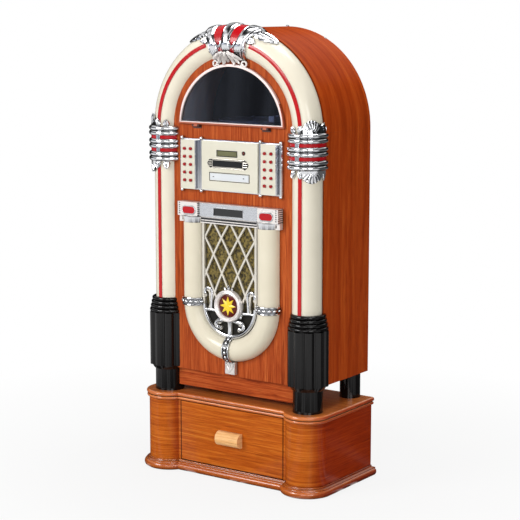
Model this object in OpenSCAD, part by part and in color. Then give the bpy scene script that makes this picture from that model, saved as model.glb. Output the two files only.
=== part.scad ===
// Jukebox record player standing on a drawer base.
// Millimetres. +Z is up, the front faces -Y, and the origin is under the middle of the base.

/* [Cabinet] */
// Outside width of the cabinet
cab_w = 568; // [540:1:620]
// Height of the cabinet underside above the floor
cab_z = 307; // [295:1:320]
// Height of the centre of the round top above the floor
arch_z = 1018; // [1010:1:1040]
// Depth of the cabinet from the face of its front panel to its back
cab_d = 283; // [270:1:320]
// Thickness of the cabinet sides, roof and floor
cab_wall = 15; // [10:0.5:18]
// Thickness of the front panel
panel_t = 12; // [10:0.5:14]
// Thickness of the back panel
back_t = 9; // [5:0.5:12]
// Depth of the kick rail below the cabinet
kick_h = 53; // [40:1:60]
// Thickness of the kick rail
kick_t = 18; // [12:1:24]

/* [Columns and arch] */
// Radius of the cream tube
tube_r = 42; // [38:0.5:46]
// Wall of the cream tube
tube_wall = 6; // [4:0.5:8]
// Distance of the tube's centre behind the face of the front panel
tube_set = 22; // [18:0.5:26]
// Distance of the tube's flat back behind its centre
tube_seat = 20; // [16:0.5:26]
// Width of the red stripe
stripe_w = 11; // [6:0.5:16]
// Height of the red stripe above the tube
stripe_h = 2.4; // [1.5:0.1:4]
// Turn of the red stripe away from straight ahead
stripe_turn = 4; // [0:1:15]

/* [Collars and posts] */
// Half the distance between the front posts
post_x = 246; // [240:1:256]
// Radius of a front post
post_r = 42.5; // [36:0.5:48]
// Half the distance between the rear posts
rear_post_x = 250; // [230:1:252]
// Distance of the rear posts in front of the cabinet back
rear_post_in = 43; // [36:1:60]
// Radius of a rear post
rear_post_r = 30; // [20:1:34]
// Bottom of the collars above the floor
collar_z = 300; // [285:1:305]
// Height of a collar
collar_h = 216; // [180:1:240]
// Radius of the core of a collar
collar_core = 52; // [48:0.5:54]
// Radius of one flute of a collar
flute_r = 15.5; // [12:0.5:17]
// Distance of the flutes from the axis of a collar
flute_ring = 44; // [42:0.5:46]
// Flutes round a collar
flutes = 10; // [8:1:12]
// Height of the ringed neck of a collar
neck_h = 46; // [36:1:60]
// Rings on the neck of a collar
neck_rings = 4; // [3:1:6]

/* [Crown and clasps] */
// Height of the middle of the side clasps
clasp_z = 969; // [960:1:975]
// Distance between the rings of a clasp
clasp_pitch = 37; // [34:0.5:40]
// Radius of the two beads of one clasp ring
clasp_bead = 7; // [5:0.5:8]
// Outside radius of the clasp rings
clasp_r = 58; // [54:0.5:60]
// Thickness of the chrome sleeve under the red lenses
sleeve_t = 3; // [2:0.5:4]
// Outside radius of the red lenses round the tube
lens_r = 51.5; // [48:0.5:53]
// Length of the chrome leaves of a clasp
leaf_h = 30; // [20:1:34]
// Outside radius of the chrome leaves at their root
leaf_r = 52; // [48:0.5:54]
// Leaves counted right round the tube
leaves = 14; // [10:1:18]
// Outside radius of the crown bands
crown_r = 56; // [52:0.5:58]
// Angle along the arch between the crown bands
crown_pitch = 14; // [12:0.5:16]
// Half the angle that one crown band covers
crown_half = 3.6; // [3:0.1:4.5]
// Angle of the crown leaves along the arch
crown_leaf = 11; // [6:0.5:13]
// Radius of the petals under the crown
petal_r = 12; // [10:0.5:13]
// Angle along the arch between the petals
petal_turn = 5.6; // [5:0.1:6]

/* [Window] */
// Outside radius of the window frame
win_r = 183; // [175:0.5:184]
// Lower edge of the window frame above the arch centre
win_rise = 11; // [8:0.5:16]
// Clearance between the closed window and the crown
win_clear = 1; // [0.5:0.1:2]
// Width of the window frame
win_rim = 7; // [5:0.5:10]
// Thickness of the window frame
win_t = 8; // [6:0.5:10]
// Thickness of the smoked pane
pane_t = 3; // [2:0.5:4]
// Half the distance between the window hinges
hinge_x = 120; // [80:1:140]
// Radius of a hinge knuckle
knuckle_r = 3; // [2.5:0.1:3.5]
// Radius of a hinge pin
pin_r = 1.5; // [1:0.1:1.8]
// Half the width of a hinge plate
hinge_w = 14; // [13:0.5:20]
// Height of a hinge plate
hinge_h = 8; // [6:0.5:12]

/* [Control panel] */
// Half the width between the middles of the outer rods
rod_x = 172; // [170:0.5:176]
// Half the width between the middles of the inner rods
inner_rod_x = 103; // [102:0.5:106]
// Radius of a rod
rod_r = 4; // [3:0.5:5]
// Radius of the balls that end the rods
ball_r = 5.5; // [4.5:0.5:6.5]
// Bottom of the control panel above the floor
ctrl_z = 841; // [836:1:846]
// Height of the control panel
ctrl_h = 146; // [144:1:150]
// Thickness of the control panel's back plate
ctrl_t = 4; // [3:0.5:6]
// Half the width of the cream fascia
fascia_x = 97; // [94:0.5:98]
// Thickness of the cream fascia
fascia_t = 8; // [6:0.5:10]
// Margin of the fascia and boxes inside the plate, above and below
ctrl_edge = 3; // [2:0.5:4]
// Width of the display
lcd_w = 68; // [50:1:70]
// Height of the display
lcd_h = 14; // [8:0.5:15]
// Sideways place of the display
lcd_x = -8; // [-12:1:0]
// Height of the display above the bottom of the control panel
lcd_up = 109; // [106:1:112]
// Radius of the remote sensor window
eye_r = 3; // [2:0.1:4]
// Sideways place of the remote sensor window
eye_x = 50; // [40:1:60]

/* [Buttons] */
// Sideways place of the middle of a button box
box_x = 139.5; // [138:0.5:141]
// Width of a button box
box_w = 50; // [46:0.5:52]
// Depth of a button box in front of the back plate
box_d = 18; // [16:0.5:22]
// Wall of a button box
box_wall = 3; // [2:0.5:3]
// Radius of a button
button_r = 4.7; // [4:0.1:5.2]
// How far a button stands out at rest
button_out = 4.5; // [4:0.1:6]
// How far a button travels
button_travel = 2.5; // [1.5:0.1:3]
// Distance between the two columns of buttons
button_dx = 21.7; // [18:0.1:23]
// Distance between the rows of buttons
button_dz = 22.6; // [20:0.1:24]

/* [Disc tray] */
// Width of the disc tray's front
tray_w = 135; // [128:1:138]
// Height of the disc tray's front
tray_h = 20; // [16:0.5:22]
// Middle of the disc tray above the bottom of the control panel
tray_up = 42; // [36:0.5:46]
// Thickness of the disc tray's plate
tray_t = 6; // [5:0.5:8]
// Radius of the disc recess
disc_r = 60.5; // [60:0.1:62]
// How far the disc tray slides out
tray_travel = 140; // [132:1:150]
// Length of the disc tray that stays in the loader when it is out
tray_tail = 20; // [15:1:30]
// Wall of the disc loader
loader_wall = 2; // [1.5:0.5:3]

/* [Header] */
// Half the width of the header
head_x = 175; // [170:0.5:180]
// Top of the header above the floor
head_z = 806; // [795:1:815]
// Height of the header's upper bar
head_bar = 40; // [36:1:44]
// Height of the header's ribbed lower rail
head_rail = 18; // [16:0.5:20]
// Width of the chrome end blocks
block_w = 70; // [64:1:72]
// How far the end blocks stand out
block_out = 25; // [20:0.5:28]
// How far the middle bar stands out
bar_out = 18; // [14:0.5:20]
// How far the lower rail stands out
rail_out = 16; // [12:0.5:20]
// Width of a red lamp lens
lamp_w = 44; // [36:1:48]
// Height of a red lamp lens
lamp_h = 20; // [14:0.5:22]
// Width of the dark window in the header
slot_w = 104; // [80:1:110]
// Height of the dark window in the header
slot_h = 22; // [14:0.5:24]

/* [Speaker front] */
// Radius of the half-round U tube
u_r = 34; // [30:0.5:36]
// Radius of the middle line of the U tube's bend
u_ring = 130; // [126:0.5:134]
// Height of the centre of the bend above the floor
u_z = 516; // [510:1:524]
// Wall of the U tube
u_wall = 4; // [2:0.5:6]
// Height of the chrome bands on the U tube
band_h = 19; // [14:0.5:24]
// Thickness of the chrome bands and strap
band_t = 3.2; // [2:0.1:4]
// Width of the grille's rim
rim_w = 7.5; // [5:0.5:9]
// Depth of the grille's rim
rim_d = 14; // [13:0.5:16]
// Thickness of the grille's strips
strip_t = 6; // [4:0.5:7]
// Width of the grille's strips
strip_w = 5.5; // [4:0.5:8]
// Distance of the front of the strips from the front panel
strip_out = 12; // [11:0.5:12.5]
// Radius of the strips' bend
strip_bend = 1100; // [800:10:2000]
// Width of one diamond of the grille
diamond_w = 57; // [48:1:64]
// Height of one diamond of the grille
diamond_h = 102; // [90:1:114]
// Drop of the diamonds' middle crossing below the header
diamond_drop = 88; // [80:1:96]
// Width of the curls
curl_w = 7; // [5:0.5:8]
// Radius of the lower curls
curl_r = 13; // [11:0.5:15]
// Sideways place of the lower curls
curl_x = 37; // [34:1:40]
// Drop of the lower curls below the middle of the bend
curl_drop = 60; // [56:1:62]
// Radius of the upper curls
hook_r = 22; // [18:0.5:25]
// Drop of the cross bars below the middle of the bend
bar_drop = 18; // [14:1:22]
// Sideways place of the upright strips at the foot
upright_x = 67; // [62:1:72]
// Lean of the upright strips
upright_lean = 6; // [2:1:8]
// Thickness of the cloth board
cloth_t = 4; // [3:0.5:5]
// Outside radius of the medallion
medal_r = 46.5; // [42:0.5:48]
// Width of the medallion's ring
medal_rim = 12.5; // [10:0.5:14]
// How far the medallion stands in front of the strips
medal_d = 16; // [12:0.5:20]
// Outside radius of the star
star_r = 27.5; // [24:0.5:30]
// Inside radius of the star
star_in = 15; // [12:0.5:18]
// Points of the star
star_n = 8; // [6:1:10]
// Width of the chrome strap over the U tube
strap_w = 20; // [14:0.5:24]
// Width of the block that ends the strap
block_tail_w = 34; // [26:1:40]
// Height of the block that ends the strap
block_tail_h = 34; // [26:1:36]
// Radius of the loudspeaker's opening
speaker_r = 76; // [60:1:80]
// Width of the loudspeaker's flange
flange_w = 8; // [6:0.5:10]
// Depth of the loudspeaker's basket
basket_d = 52; // [44:1:60]
// Radius of the loudspeaker's magnet
magnet_r = 44; // [36:1:50]
// Thickness of the loudspeaker's magnet
magnet_t = 22; // [16:1:26]
// Height of the loudspeaker's middle above the floor
speaker_z = 620; // [610:1:640]

/* [Turntable] */
// Top of the turntable deck below the arch centre
deck_drop = 2; // [1:0.5:6]
// Thickness of the turntable deck
deck_t = 12; // [10:0.5:16]
// Radius of the platter
platter_r = 100; // [90:1:102]
// Height of the platter
platter_h = 18; // [14:0.5:20]
// Sideways place of the platter's axis
platter_x = -30; // [-40:1:-26]
// Distance of the platter's axis before the back panel
platter_back = 124; // [118:1:134]
// Radius of the spindle
spindle_r = 3; // [2.5:0.1:3.6]
// Radius of the platter motor
motor_r = 35; // [30:1:45]
// Height of the platter motor below the deck
motor_h = 34; // [30:1:45]
// Sideways place of the tonearm's pivot
arm_x = 110; // [106:1:120]
// Distance of the tonearm's pivot before the back panel
arm_back = 59; // [54:1:64]
// Length of the tonearm from its pivot to the stylus
arm_len = 165; // [160:1:170]
// Radius of the tonearm's tube
arm_r = 4.5; // [3:0.1:5]
// Radius of the tonearm's pivot shaft
arm_pin_r = 4; // [3:0.1:5]
// Radius of the tonearm's pivot housing
pivot_r = 13; // [11:0.5:15]
// Distance of the tonearm's rear end behind its pivot
weight_y = 40; // [36:1:44]
// Radius of the counterweight
weight_r = 12; // [8:0.5:14]
// Length of the counterweight
weight_len = 24; // [16:1:26]
// Length of the headshell
shell_len = 32; // [26:1:36]
// Width of the headshell
shell_w = 18; // [14:0.5:22]

/* [Amplifier] */
// Width of the amplifier
amp_w = 240; // [200:1:300]
// Depth of the amplifier
amp_d = 130; // [100:1:150]
// Height of the amplifier
amp_h = 64; // [54:1:80]
// Sideways place of the power inlet
inlet_x = -60; // [-80:1:-40]
// Height of the power inlet above the cabinet floor
inlet_up = 36; // [30:1:40]
// Width of the power inlet
inlet_w = 28; // [24:1:30]
// Height of the power inlet
inlet_h = 22; // [18:1:24]
// Depth of the power inlet
inlet_d = 12; // [8:1:16]

/* [Base] */
// Radius of the round front pilasters
pil_r = 62; // [58:0.5:66]
// How far the moulded skirt stands out from the base body
skirt_out = 17; // [13:0.5:19]
// How far the moulded top board stands out from the base body
top_out = 8; // [6:0.5:10]
// Height of the skirt
skirt_h = 30; // [28:0.5:36]
// Thickness of the bottom board inside the skirt
bottom_t = 12; // [8:0.5:16]
// Underside of the top board above the floor
top_z = 213; // [200:1:216]
// Thickness of the top board
top_t = 22; // [20:0.5:26]
// Distance of the drawer front's face before the front panel's face
drawer_out = 8; // [4:0.5:12]
// Wall of the base body at the back
base_wall = 18; // [12:0.5:24]

/* [Drawer] */
// How far the drawer front passes the drawer box on each side
front_lip = 13; // [8:0.5:14]
// Thickness of the drawer front
drawer_t = 18; // [14:0.5:22]
// Gap round the drawer front
drawer_gap = 1; // [0.5:0.1:2]
// Half the width of the drawer box
box_half = 170; // [150:1:172]
// Room behind the closed drawer box
drawer_room = 17; // [8:1:40]
// Height of the drawer box
drawer_h = 146; // [100:1:150]
// Wall of the drawer box
drawer_wall = 12; // [8:0.5:15]
// Thickness of the drawer's bottom
drawer_floor = 8; // [5:0.5:10]
// Height of the drawer runners
runner_h = 10; // [8:0.5:12]
// Width of the drawer pull
pull_w = 80; // [60:1:100]
// Radius of the drawer pull's rounded face
pull_r = 21; // [16:0.5:24]
// Distance of the pull's centre before the drawer front
pull_out = 5; // [3:0.5:8]

/* [Fits] */
// Gap between curved faces that seat on each other
seat_gap = 0.3; // [0.2:0.05:0.5]
// Glue line between the roof and the sides
glue_line = 0.1; // [0.05:0.05:0.2]
// Running clearance of a pin or shaft in its bore
run_fit = 0.08; // [0.02:0.01:0.1]

/* [Hidden] */
$fn = 96;
eps = 1;

cab_r = cab_w / 2;
cab_in = cab_r - cab_wall;
arch_r = cab_r - tube_r;
seat_y = tube_set + tube_seat;
// The panel's edge reaches the tube where the tube's face crosses the panel's face.
panel_r = arch_r - sqrt(tube_r * tube_r - tube_set * tube_set);
back_y = cab_d - back_t;
floor_top = cab_z + cab_wall;
bore_r = tube_r + seat_gap;
// Half the room between the tubes behind the front panel.
room_x = arch_r - tube_r - seat_gap;

post_y = tube_set;
base_half = post_x + pil_r;
body_front = -drawer_out;
body_back = cab_d - skirt_out;
base_top_z = top_z + top_t;
// Moves the cabinet's own frame, which starts at the front panel's face, to the part's frame.
panel_y = -(cab_d - (pil_r + skirt_out - post_y)) / 2;

collar_top = collar_z + collar_h;
clasp_half = clasp_pitch + 2 * clasp_bead;
// The leaves start just outside the red stripe.
leaf_from = tube_r * sin(stripe_turn) + stripe_w / 2 + 1;
crown_end = crown_pitch + crown_half;

win_z = arch_z + win_rise;
hinge_y = -win_t - 1;
hinge_z = win_z - knuckle_r - 1;

plate_y = -ctrl_t;
fascia_y = plate_y - fascia_t;
box_y = plate_y - box_d;
box_z = ctrl_z + ctrl_edge;
box_h = ctrl_h - 2 * ctrl_edge;
tray_z = ctrl_z + tray_up;
tray_in = tray_travel + panel_t + tray_tail;
disc_y = fascia_y + 8 + disc_r;
lcd_z = ctrl_z + lcd_up;

head_bottom = head_z - head_bar - head_rail;
rail_top = head_bottom + head_rail;
block_x = head_x - block_w;
lamp_x = block_x + block_w * 0.43;
lamp_z = rail_top + head_bar / 2 - 3;

u_inner = u_ring - u_r;
rim_r = u_inner - seat_gap;
cloth_r = rim_r - rim_w - seat_gap;

platter_y = back_y - platter_back;
arm_y = back_y - arm_back;
deck_top = arch_z - deck_drop;
platter_z = deck_top + 4;
arm_z = platter_z + platter_h + 16;
pivot_z = platter_z + platter_h + 2;

drawer_x = box_half + front_lip;
drawer_y = body_front + drawer_t;
drawer_len = body_back - base_wall - drawer_room - drawer_y;
drawer_z0 = skirt_h + drawer_gap;
drawer_z1 = top_z - drawer_gap;
runner_z = skirt_h + 4;
drawer_box_z = runner_z + runner_h + seat_gap;
pull_z = (drawer_z0 + drawer_z1) / 2;

wood = "#a8481e";
base_wood = "#b5601f";
cream = "#efe9d8";
red = "#d2252c";
black = "#1c1a1c";
chrome = "#d4d6d9";

function button_name(i) = str("button_", i < 10 ? "0" : "", i);
function button_side(i) = i <= 10 ? -1 : 1;
function button_col(i) = (i - 1) % 2;
function button_row(i) = floor(((i - 1) % 10) / 2);
function button_x(i) = button_side(i) * box_x + (button_col(i) - 0.5) * button_dx;
function button_z(i) = box_z + box_h / 2 + (2 - button_row(i)) * button_dz;

// Frames and helpers

// The cabinet's own frame, with y = 0 on the face of the front panel.
module at_panel() translate([0, panel_y, 0]) children();

// Both sides, from the right-hand one.
module both_sides() {
    children();
    mirror([1, 0, 0]) children();
}

// A shape drawn as seen from the front, made t thick from y0 backwards.
module front_plate(y0, t)
    translate([0, y0 + t, 0]) rotate([90, 0, 0]) linear_extrude(t) children();

// A section drawn as (distance from the arch centre, y), swept along the arch.
module arch_sweep(a0, a1)
    translate([0, 0, arch_z]) rotate([90, 0, 0]) rotate([0, 0, a0])
        rotate_extrude(angle = a1 - a0, $fn = 180) mirror([0, 1]) children();

// The same section raised as a straight column on the right.
module column_sweep(z0, z1)
    translate([0, 0, z0]) linear_extrude(z1 - z0) children();

// The frame of the arch's tube at an angle, with the tube's axis along Z.
module on_arch(angle)
    translate([0, tube_set, arch_z]) rotate([0, -angle, 0]) translate([arch_r, 0, 0]) children();

// A block between two corners.
module span(a, b) translate(a) cube(b - a);

module rect(x0, x1, z0, z1) translate([x0, z0]) square([x1 - x0, z1 - z0]);

// A half-moon with a straight lower edge.
module half_moon(r, z0) intersection() {
    translate([0, arch_z]) circle(r = r);
    rect(-r, r, z0, arch_z + r);
}

// The outline of the cabinet from the front.
module arch_shape(r, z0) {
    translate([0, arch_z]) intersection() {
        circle(r = r, $fn = 180);
        translate([-r, 0]) square([2 * r, r]);
    }
    rect(-r, r, z0, arch_z);
}

// Everything beside the tube that belongs to the front panel and the cabinet.
module cabinet_room() {
    translate([0, -seat_gap]) square([panel_r + seat_gap, cab_d]);
    translate([0, seat_y - seat_gap]) square([cab_r + seat_gap, cab_d]);
}

// Base

// The plan of the base, grown outwards by o.
module base_plan(o) {
    for (s = [-1, 1])
        translate([s * post_x, post_y]) circle(r = pil_r + o);
    translate([-post_x, body_front - o])
        square([2 * post_x, post_y - body_front + o + eps]);
    translate([-base_half - o, post_y])
        square([2 * (base_half + o), body_back + o - post_y]);
}

// A moulding profile drawn as (distance out, height), run right round the base.
module base_moulding() {
    for (s = [-1, 1])
        translate([s * post_x, post_y, 0]) rotate_extrude() translate([pil_r, 0]) children();
    translate([-post_x, body_front, 0]) mirror([0, 1, 0]) rotate([90, 0, 90])
        linear_extrude(2 * post_x) children();
    both_sides()
        translate([base_half, body_back, 0]) rotate([90, 0, 0])
            linear_extrude(body_back - post_y) children();
    translate([-base_half, body_back, 0]) rotate([90, 0, 90])
        linear_extrude(2 * base_half) children();
    for (s = [-1, 1])
        translate([s * base_half, body_back, 0]) rotate_extrude() intersection() {
            children();
            square([skirt_out + eps, base_top_z + eps]);
        }
}

module skirt_profile() {
    nose = (skirt_h - 8) / 2;
    translate([-base_wall, 0]) square([base_wall + skirt_out - nose, skirt_h - 8]);
    translate([skirt_out - nose, nose]) circle(r = nose);
    difference() {
        translate([-base_wall, skirt_h - 12]) square([base_wall + 9, 12]);
        translate([10, skirt_h + 1]) circle(r = 10);
    }
}

module top_profile() {
    upper = 6;
    lower = 4.5;
    translate([-base_wall, top_z]) square([base_wall + top_out - upper, top_t]);
    translate([top_out - upper, base_top_z - upper]) circle(r = upper);
    translate([top_out - upper, top_z + lower]) circle(r = lower);
}

module base_skirt() color(base_wood) at_panel() {
    linear_extrude(bottom_t) base_plan(-base_wall / 2);
    base_moulding() skirt_profile();
}

module base_carcass() color(base_wood) at_panel() {
    cavity_x = drawer_x + drawer_gap;
    translate([0, 0, skirt_h]) linear_extrude(top_z - skirt_h) difference() {
        base_plan(0);
        translate([-cavity_x, body_front - pil_r])
            square([2 * cavity_x, body_back - base_wall - body_front + pil_r]);
    }
    both_sides()
        span([box_half - drawer_wall - 8, drawer_y + 4, runner_z],
            [cavity_x + eps, body_back - base_wall + eps, runner_z + runner_h]);
}

module base_top() color(base_wood) at_panel() {
    translate([0, 0, top_z]) linear_extrude(top_t) base_plan(-base_wall / 2);
    base_moulding() top_profile();
}

module drawer_front() color(base_wood) at_panel()
    span([-drawer_x, body_front, drawer_z0], [drawer_x, body_front + drawer_t, drawer_z1]);

module drawer_box() color("#d9b98a") at_panel() {
    difference() {
        span([-box_half, drawer_y, drawer_box_z],
            [box_half, drawer_y + drawer_len, drawer_box_z + drawer_h]);
        span([-box_half + drawer_wall, drawer_y + drawer_wall, drawer_box_z + drawer_floor],
            [box_half - drawer_wall, drawer_y + drawer_len - drawer_wall,
                drawer_box_z + drawer_h + eps]);
    }
}

module drawer_pull() color("#e0a468") at_panel()
    translate([-pull_w / 2, body_front, pull_z]) rotate([90, 0, 90]) linear_extrude(pull_w)
        intersection() {
            translate([-pull_out, 0]) circle(r = pull_r);
            translate([-2 * pull_r, -pull_r]) square([2 * pull_r, 2 * pull_r]);
        }

// Posts and collars

module posts() color(black) at_panel() both_sides() {
    translate([post_x, post_y, base_top_z]) cylinder(r = post_r, h = collar_z - base_top_z);
    translate([rear_post_x, cab_d - rear_post_in, base_top_z])
        cylinder(r = rear_post_r, h = cab_z - base_top_z);
}

// The plan of the fluted part of a collar.
module flute_plan() {
    circle(r = collar_core);
    for (i = [0:flutes - 1])
        rotate((i + 0.5) * 360 / flutes) translate([flute_ring, 0]) circle(r = flute_r);
}

// The ringed neck of a collar, narrowing upwards.
module neck_profile() {
    ring_h = neck_h / neck_rings;
    for (i = [0:neck_rings - 1]) {
        ring_out = collar_core + 6 - 2.4 * i;
        square([ring_out - ring_h / 2, (i + 1) * ring_h]);
        translate([ring_out - ring_h / 2, (i + 0.5) * ring_h]) circle(r = ring_h / 2);
    }
}

module front_collars() color(black) at_panel() both_sides() {
    foot = 12;
    difference() {
        translate([post_x, post_y, collar_z]) {
            cylinder(r1 = post_r + 4, r2 = collar_core + 2, h = foot);
            translate([0, 0, foot]) linear_extrude(collar_h - neck_h - foot) flute_plan();
            translate([0, 0, collar_h - neck_h]) rotate_extrude() neck_profile();
        }
        translate([0, 0, collar_z - eps]) linear_extrude(collar_h + 2 * eps) cabinet_room();
    }
}

// Cabinet

// Sides and floor in one, and a bent roof in two quarters that are glued on.
module cabinet_carcass() color(wood) at_panel() {
    front_plate(seat_y, cab_d - seat_y) difference() {
        rect(-cab_r, cab_r, cab_z, arch_z - glue_line);
        rect(-cab_in, cab_in, floor_top, arch_z);
    }
    span([-room_x, panel_t, cab_z], [room_x, seat_y + eps, floor_top]);
    both_sides() front_plate(seat_y, cab_d - seat_y) translate([0, arch_z]) intersection() {
        difference() {
            circle(r = cab_r, $fn = 180);
            circle(r = cab_in, $fn = 180);
        }
        translate([glue_line / 2, 0]) square([cab_r + eps, cab_r + eps]);
    }
}

module vent_slots(z, rows) for (i = [0:rows - 1])
    for (s = [-1:1])
        translate([s * 90, z + i * 16]) rect(-32, 32, -3, 3);

module back_panel() color(black) at_panel() front_plate(back_y, back_t) difference() {
    arch_shape(cab_in - seat_gap, floor_top);
    vent_slots(560, 5);
    vent_slots(860, 4);
    inlet_outline(1);
}

module front_panel() color(wood) at_panel() front_plate(0, panel_t) difference() {
    arch_shape(panel_r, cab_z);
    half_moon(win_r - win_rim, win_z + win_rim);
    tray_hole(3);
    translate([0, speaker_z]) circle(r = speaker_r);
}

module kick_rail() color(wood) at_panel()
    span([-post_x + post_r + 1, panel_t, cab_z - kick_h],
        [post_x - post_r - 1, panel_t + kick_t, cab_z]);

// Cream tube

// The section of the tube: round in front, flat behind, slotted for the panel's edge.
module tube_section() difference() {
    translate([arch_r, tube_set]) difference() {
        intersection() {
            circle(r = tube_r);
            translate([-tube_r, -tube_r]) square([2 * tube_r, tube_r + tube_seat]);
        }
        intersection() {
            circle(r = tube_r - tube_wall);
            translate([-tube_r, -tube_r]) square([2 * tube_r, tube_r + tube_seat - tube_wall]);
        }
    }
    translate([0, -seat_gap]) square([panel_r + seat_gap, panel_t + 2 * seat_gap]);
}

module column_tubes() color(cream) at_panel() both_sides()
    column_sweep(collar_top, clasp_z) tube_section();

module arch_tube() color(cream) at_panel() {
    arch_sweep(0, 180) tube_section();
    both_sides() column_sweep(clasp_z, arch_z) tube_section();
}

module stripe_section() translate([arch_r, tube_set]) rotate(stripe_turn) intersection() {
    difference() {
        circle(r = tube_r + stripe_h);
        circle(r = bore_r);
    }
    translate([-stripe_w / 2, -2 * tube_r]) square([stripe_w, 2 * tube_r]);
}

module red_stripes() color(red) at_panel() both_sides() {
    column_sweep(collar_top, clasp_z - clasp_half) stripe_section();
    arch_sweep(atan((clasp_z + clasp_half - arch_z) / arch_r) + 0.1, 90 - crown_end - 0.1)
        stripe_section();
}

// Crown and clasps

// A ring round the tube, clear of the panel and the cabinet.
module ring_section(r_in, r_out) difference() {
    translate([arch_r, tube_set]) difference() {
        circle(r = r_out);
        circle(r = r_in);
    }
    cabinet_room();
}

// Wedges that cut a plain sleeve into pointed leaves of height h.
module leaf_notches(h) {
    gap = leaf_r * sin(180 / leaves);
    for (i = [0:leaves - 1])
        rotate(i * 360 / leaves) rotate([90, 0, 90]) linear_extrude(2 * leaf_r)
            polygon([[-gap, h + eps], [gap, h + eps], [gap * 0.96, h], [0, h * 0.15],
                [-gap * 0.96, h]]);
}

// One clasp: a sleeve, three double-beaded rings and a row of leaves at each end.
module clasp_profile() {
    ring_x = clasp_r - clasp_bead;
    translate([bore_r, -clasp_half]) square([sleeve_t, 2 * clasp_half]);
    for (i = [-1:1]) {
        translate([bore_r, i * clasp_pitch - 2 * clasp_bead])
            square([ring_x - bore_r, 4 * clasp_bead]);
        for (s = [-1, 1])
            translate([ring_x, i * clasp_pitch + s * clasp_bead]) circle(r = clasp_bead);
    }
}

module clasp_leaves() difference() {
    rotate_extrude() polygon([[bore_r, 0], [leaf_r, 0], [leaf_r - 4, leaf_h], [bore_r, leaf_h]]);
    leaf_notches(leaf_h);
    translate([leaf_from - 2 * leaf_r, -leaf_r - eps, -eps])
        cube([2 * leaf_r, 2 * leaf_r + 2 * eps, leaf_h + 2 * eps]);
}

module side_clasps() color(chrome) at_panel() both_sides() {
    reach = clasp_half + leaf_h + eps;
    difference() {
        translate([arch_r, tube_set, clasp_z]) {
            rotate_extrude() clasp_profile();
            for (s = [0, 1])
                mirror([0, 0, s]) translate([0, 0, clasp_half]) clasp_leaves();
        }
        translate([0, 0, clasp_z - reach]) linear_extrude(2 * reach) cabinet_room();
    }
}

// Leaves at one end of the crown, on the outer half of the tube.
module crown_leaves() {
    start = 90 - crown_end;
    difference() {
        arch_sweep(start - crown_leaf, start) difference() {
            ring_section(bore_r, leaf_r - 2);
            translate([0, -cab_d]) square([arch_r + leaf_from, 2 * cab_d]);
        }
        on_arch(start) mirror([0, 0, 1])
            leaf_notches(crown_leaf * PI / 180 * (arch_r + leaf_r));
    }
}

module crown_petals() difference() {
    front_plate(-seat_gap - 13, 13)
        for (i = [-2:2])
            translate([0, arch_z]) rotate(i * petal_turn) translate([0, win_r + petal_r + 2 * win_clear])
                circle(r = petal_r);
    arch_sweep(60, 120) translate([arch_r, tube_set]) circle(r = lens_r + seat_gap);
}

// Three stepped bands over the tube, joined by a thin sleeve.
module crown_bands() for (i = [-1:1]) {
    mid = 90 + i * crown_pitch;
    step = crown_half * 0.6;
    arch_sweep(mid - step, mid + step) ring_section(bore_r, crown_r);
    for (s = [-1, 1]) {
        near = mid + s * step;
        far = mid + s * crown_half;
        arch_sweep(min(near, far), max(near, far)) ring_section(bore_r, crown_r - 3);
    }
    if (i < 1)
        arch_sweep(mid + crown_half, mid + crown_pitch - crown_half)
            ring_section(bore_r, bore_r + sleeve_t);
}

// The room of the closed window, which the crown keeps out of.
module window_room() front_plate(-win_t - 2 * win_clear, win_t + 2 * win_clear)
    half_moon(win_r + win_clear, win_z - win_clear);

module crown() color(chrome) at_panel() difference() {
    union() {
        crown_bands();
        both_sides() crown_leaves();
        crown_petals();
    }
    window_room();
}

module lozenge(w, h) {
    translate([-w / 2 + h / 2, 0]) circle(r = h / 2);
    translate([w / 2 - h / 2, 0]) circle(r = h / 2);
    rect(-w / 2 + h / 2, w / 2 - h / 2, -h / 2, h / 2);
}

module lamp_lenses() color(red) at_panel() {
    both_sides() {
        for (s = [-1, 1])
            translate([0, 0, clasp_z + s * clasp_pitch / 2])
                linear_extrude(clasp_pitch - 4 * clasp_bead - 2 * seat_gap, center = true)
                    ring_section(bore_r + sleeve_t + seat_gap, lens_r);
        difference() {
            arch_sweep(90 - crown_pitch + crown_half + 0.1, 90 - crown_half - 0.1)
                ring_section(bore_r + sleeve_t + seat_gap, lens_r);
            window_room();
        }
        front_plate(-block_out - 2, 5) translate([lamp_x, lamp_z])
            lozenge(lamp_w - 2 * seat_gap, lamp_h - 2 * seat_gap);
    }
}

// Window

module window_frame() color(chrome) at_panel() {
    difference() {
        front_plate(-win_t - 0.5, win_t) difference() {
            half_moon(win_r, win_z);
            half_moon(win_r - win_rim, win_z + win_rim);
        }
        front_plate(-pane_t - 0.5, pane_t + eps)
            half_moon(win_r - win_rim / 2, win_z + win_rim / 2);
    }
    both_sides() hinge_lug();
}

// The moving knuckle under the frame.
module hinge_lug() difference() {
    union() {
        translate([hinge_x, hinge_y, hinge_z]) rotate([0, 90, 0])
            cylinder(r = knuckle_r, h = 12, center = true);
        span([hinge_x - 6, hinge_y - 1, hinge_z], [hinge_x + 6, hinge_y + 3, win_z + 2]);
    }
    translate([hinge_x, hinge_y, hinge_z]) rotate([0, 90, 0])
        cylinder(r = pin_r + run_fit, h = 14, center = true);
}

module window_pane() color("#23262b") at_panel()
    front_plate(-pane_t - 0.5, pane_t)
        half_moon(win_r - win_rim / 2 - seat_gap, win_z + win_rim / 2 + seat_gap);

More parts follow.
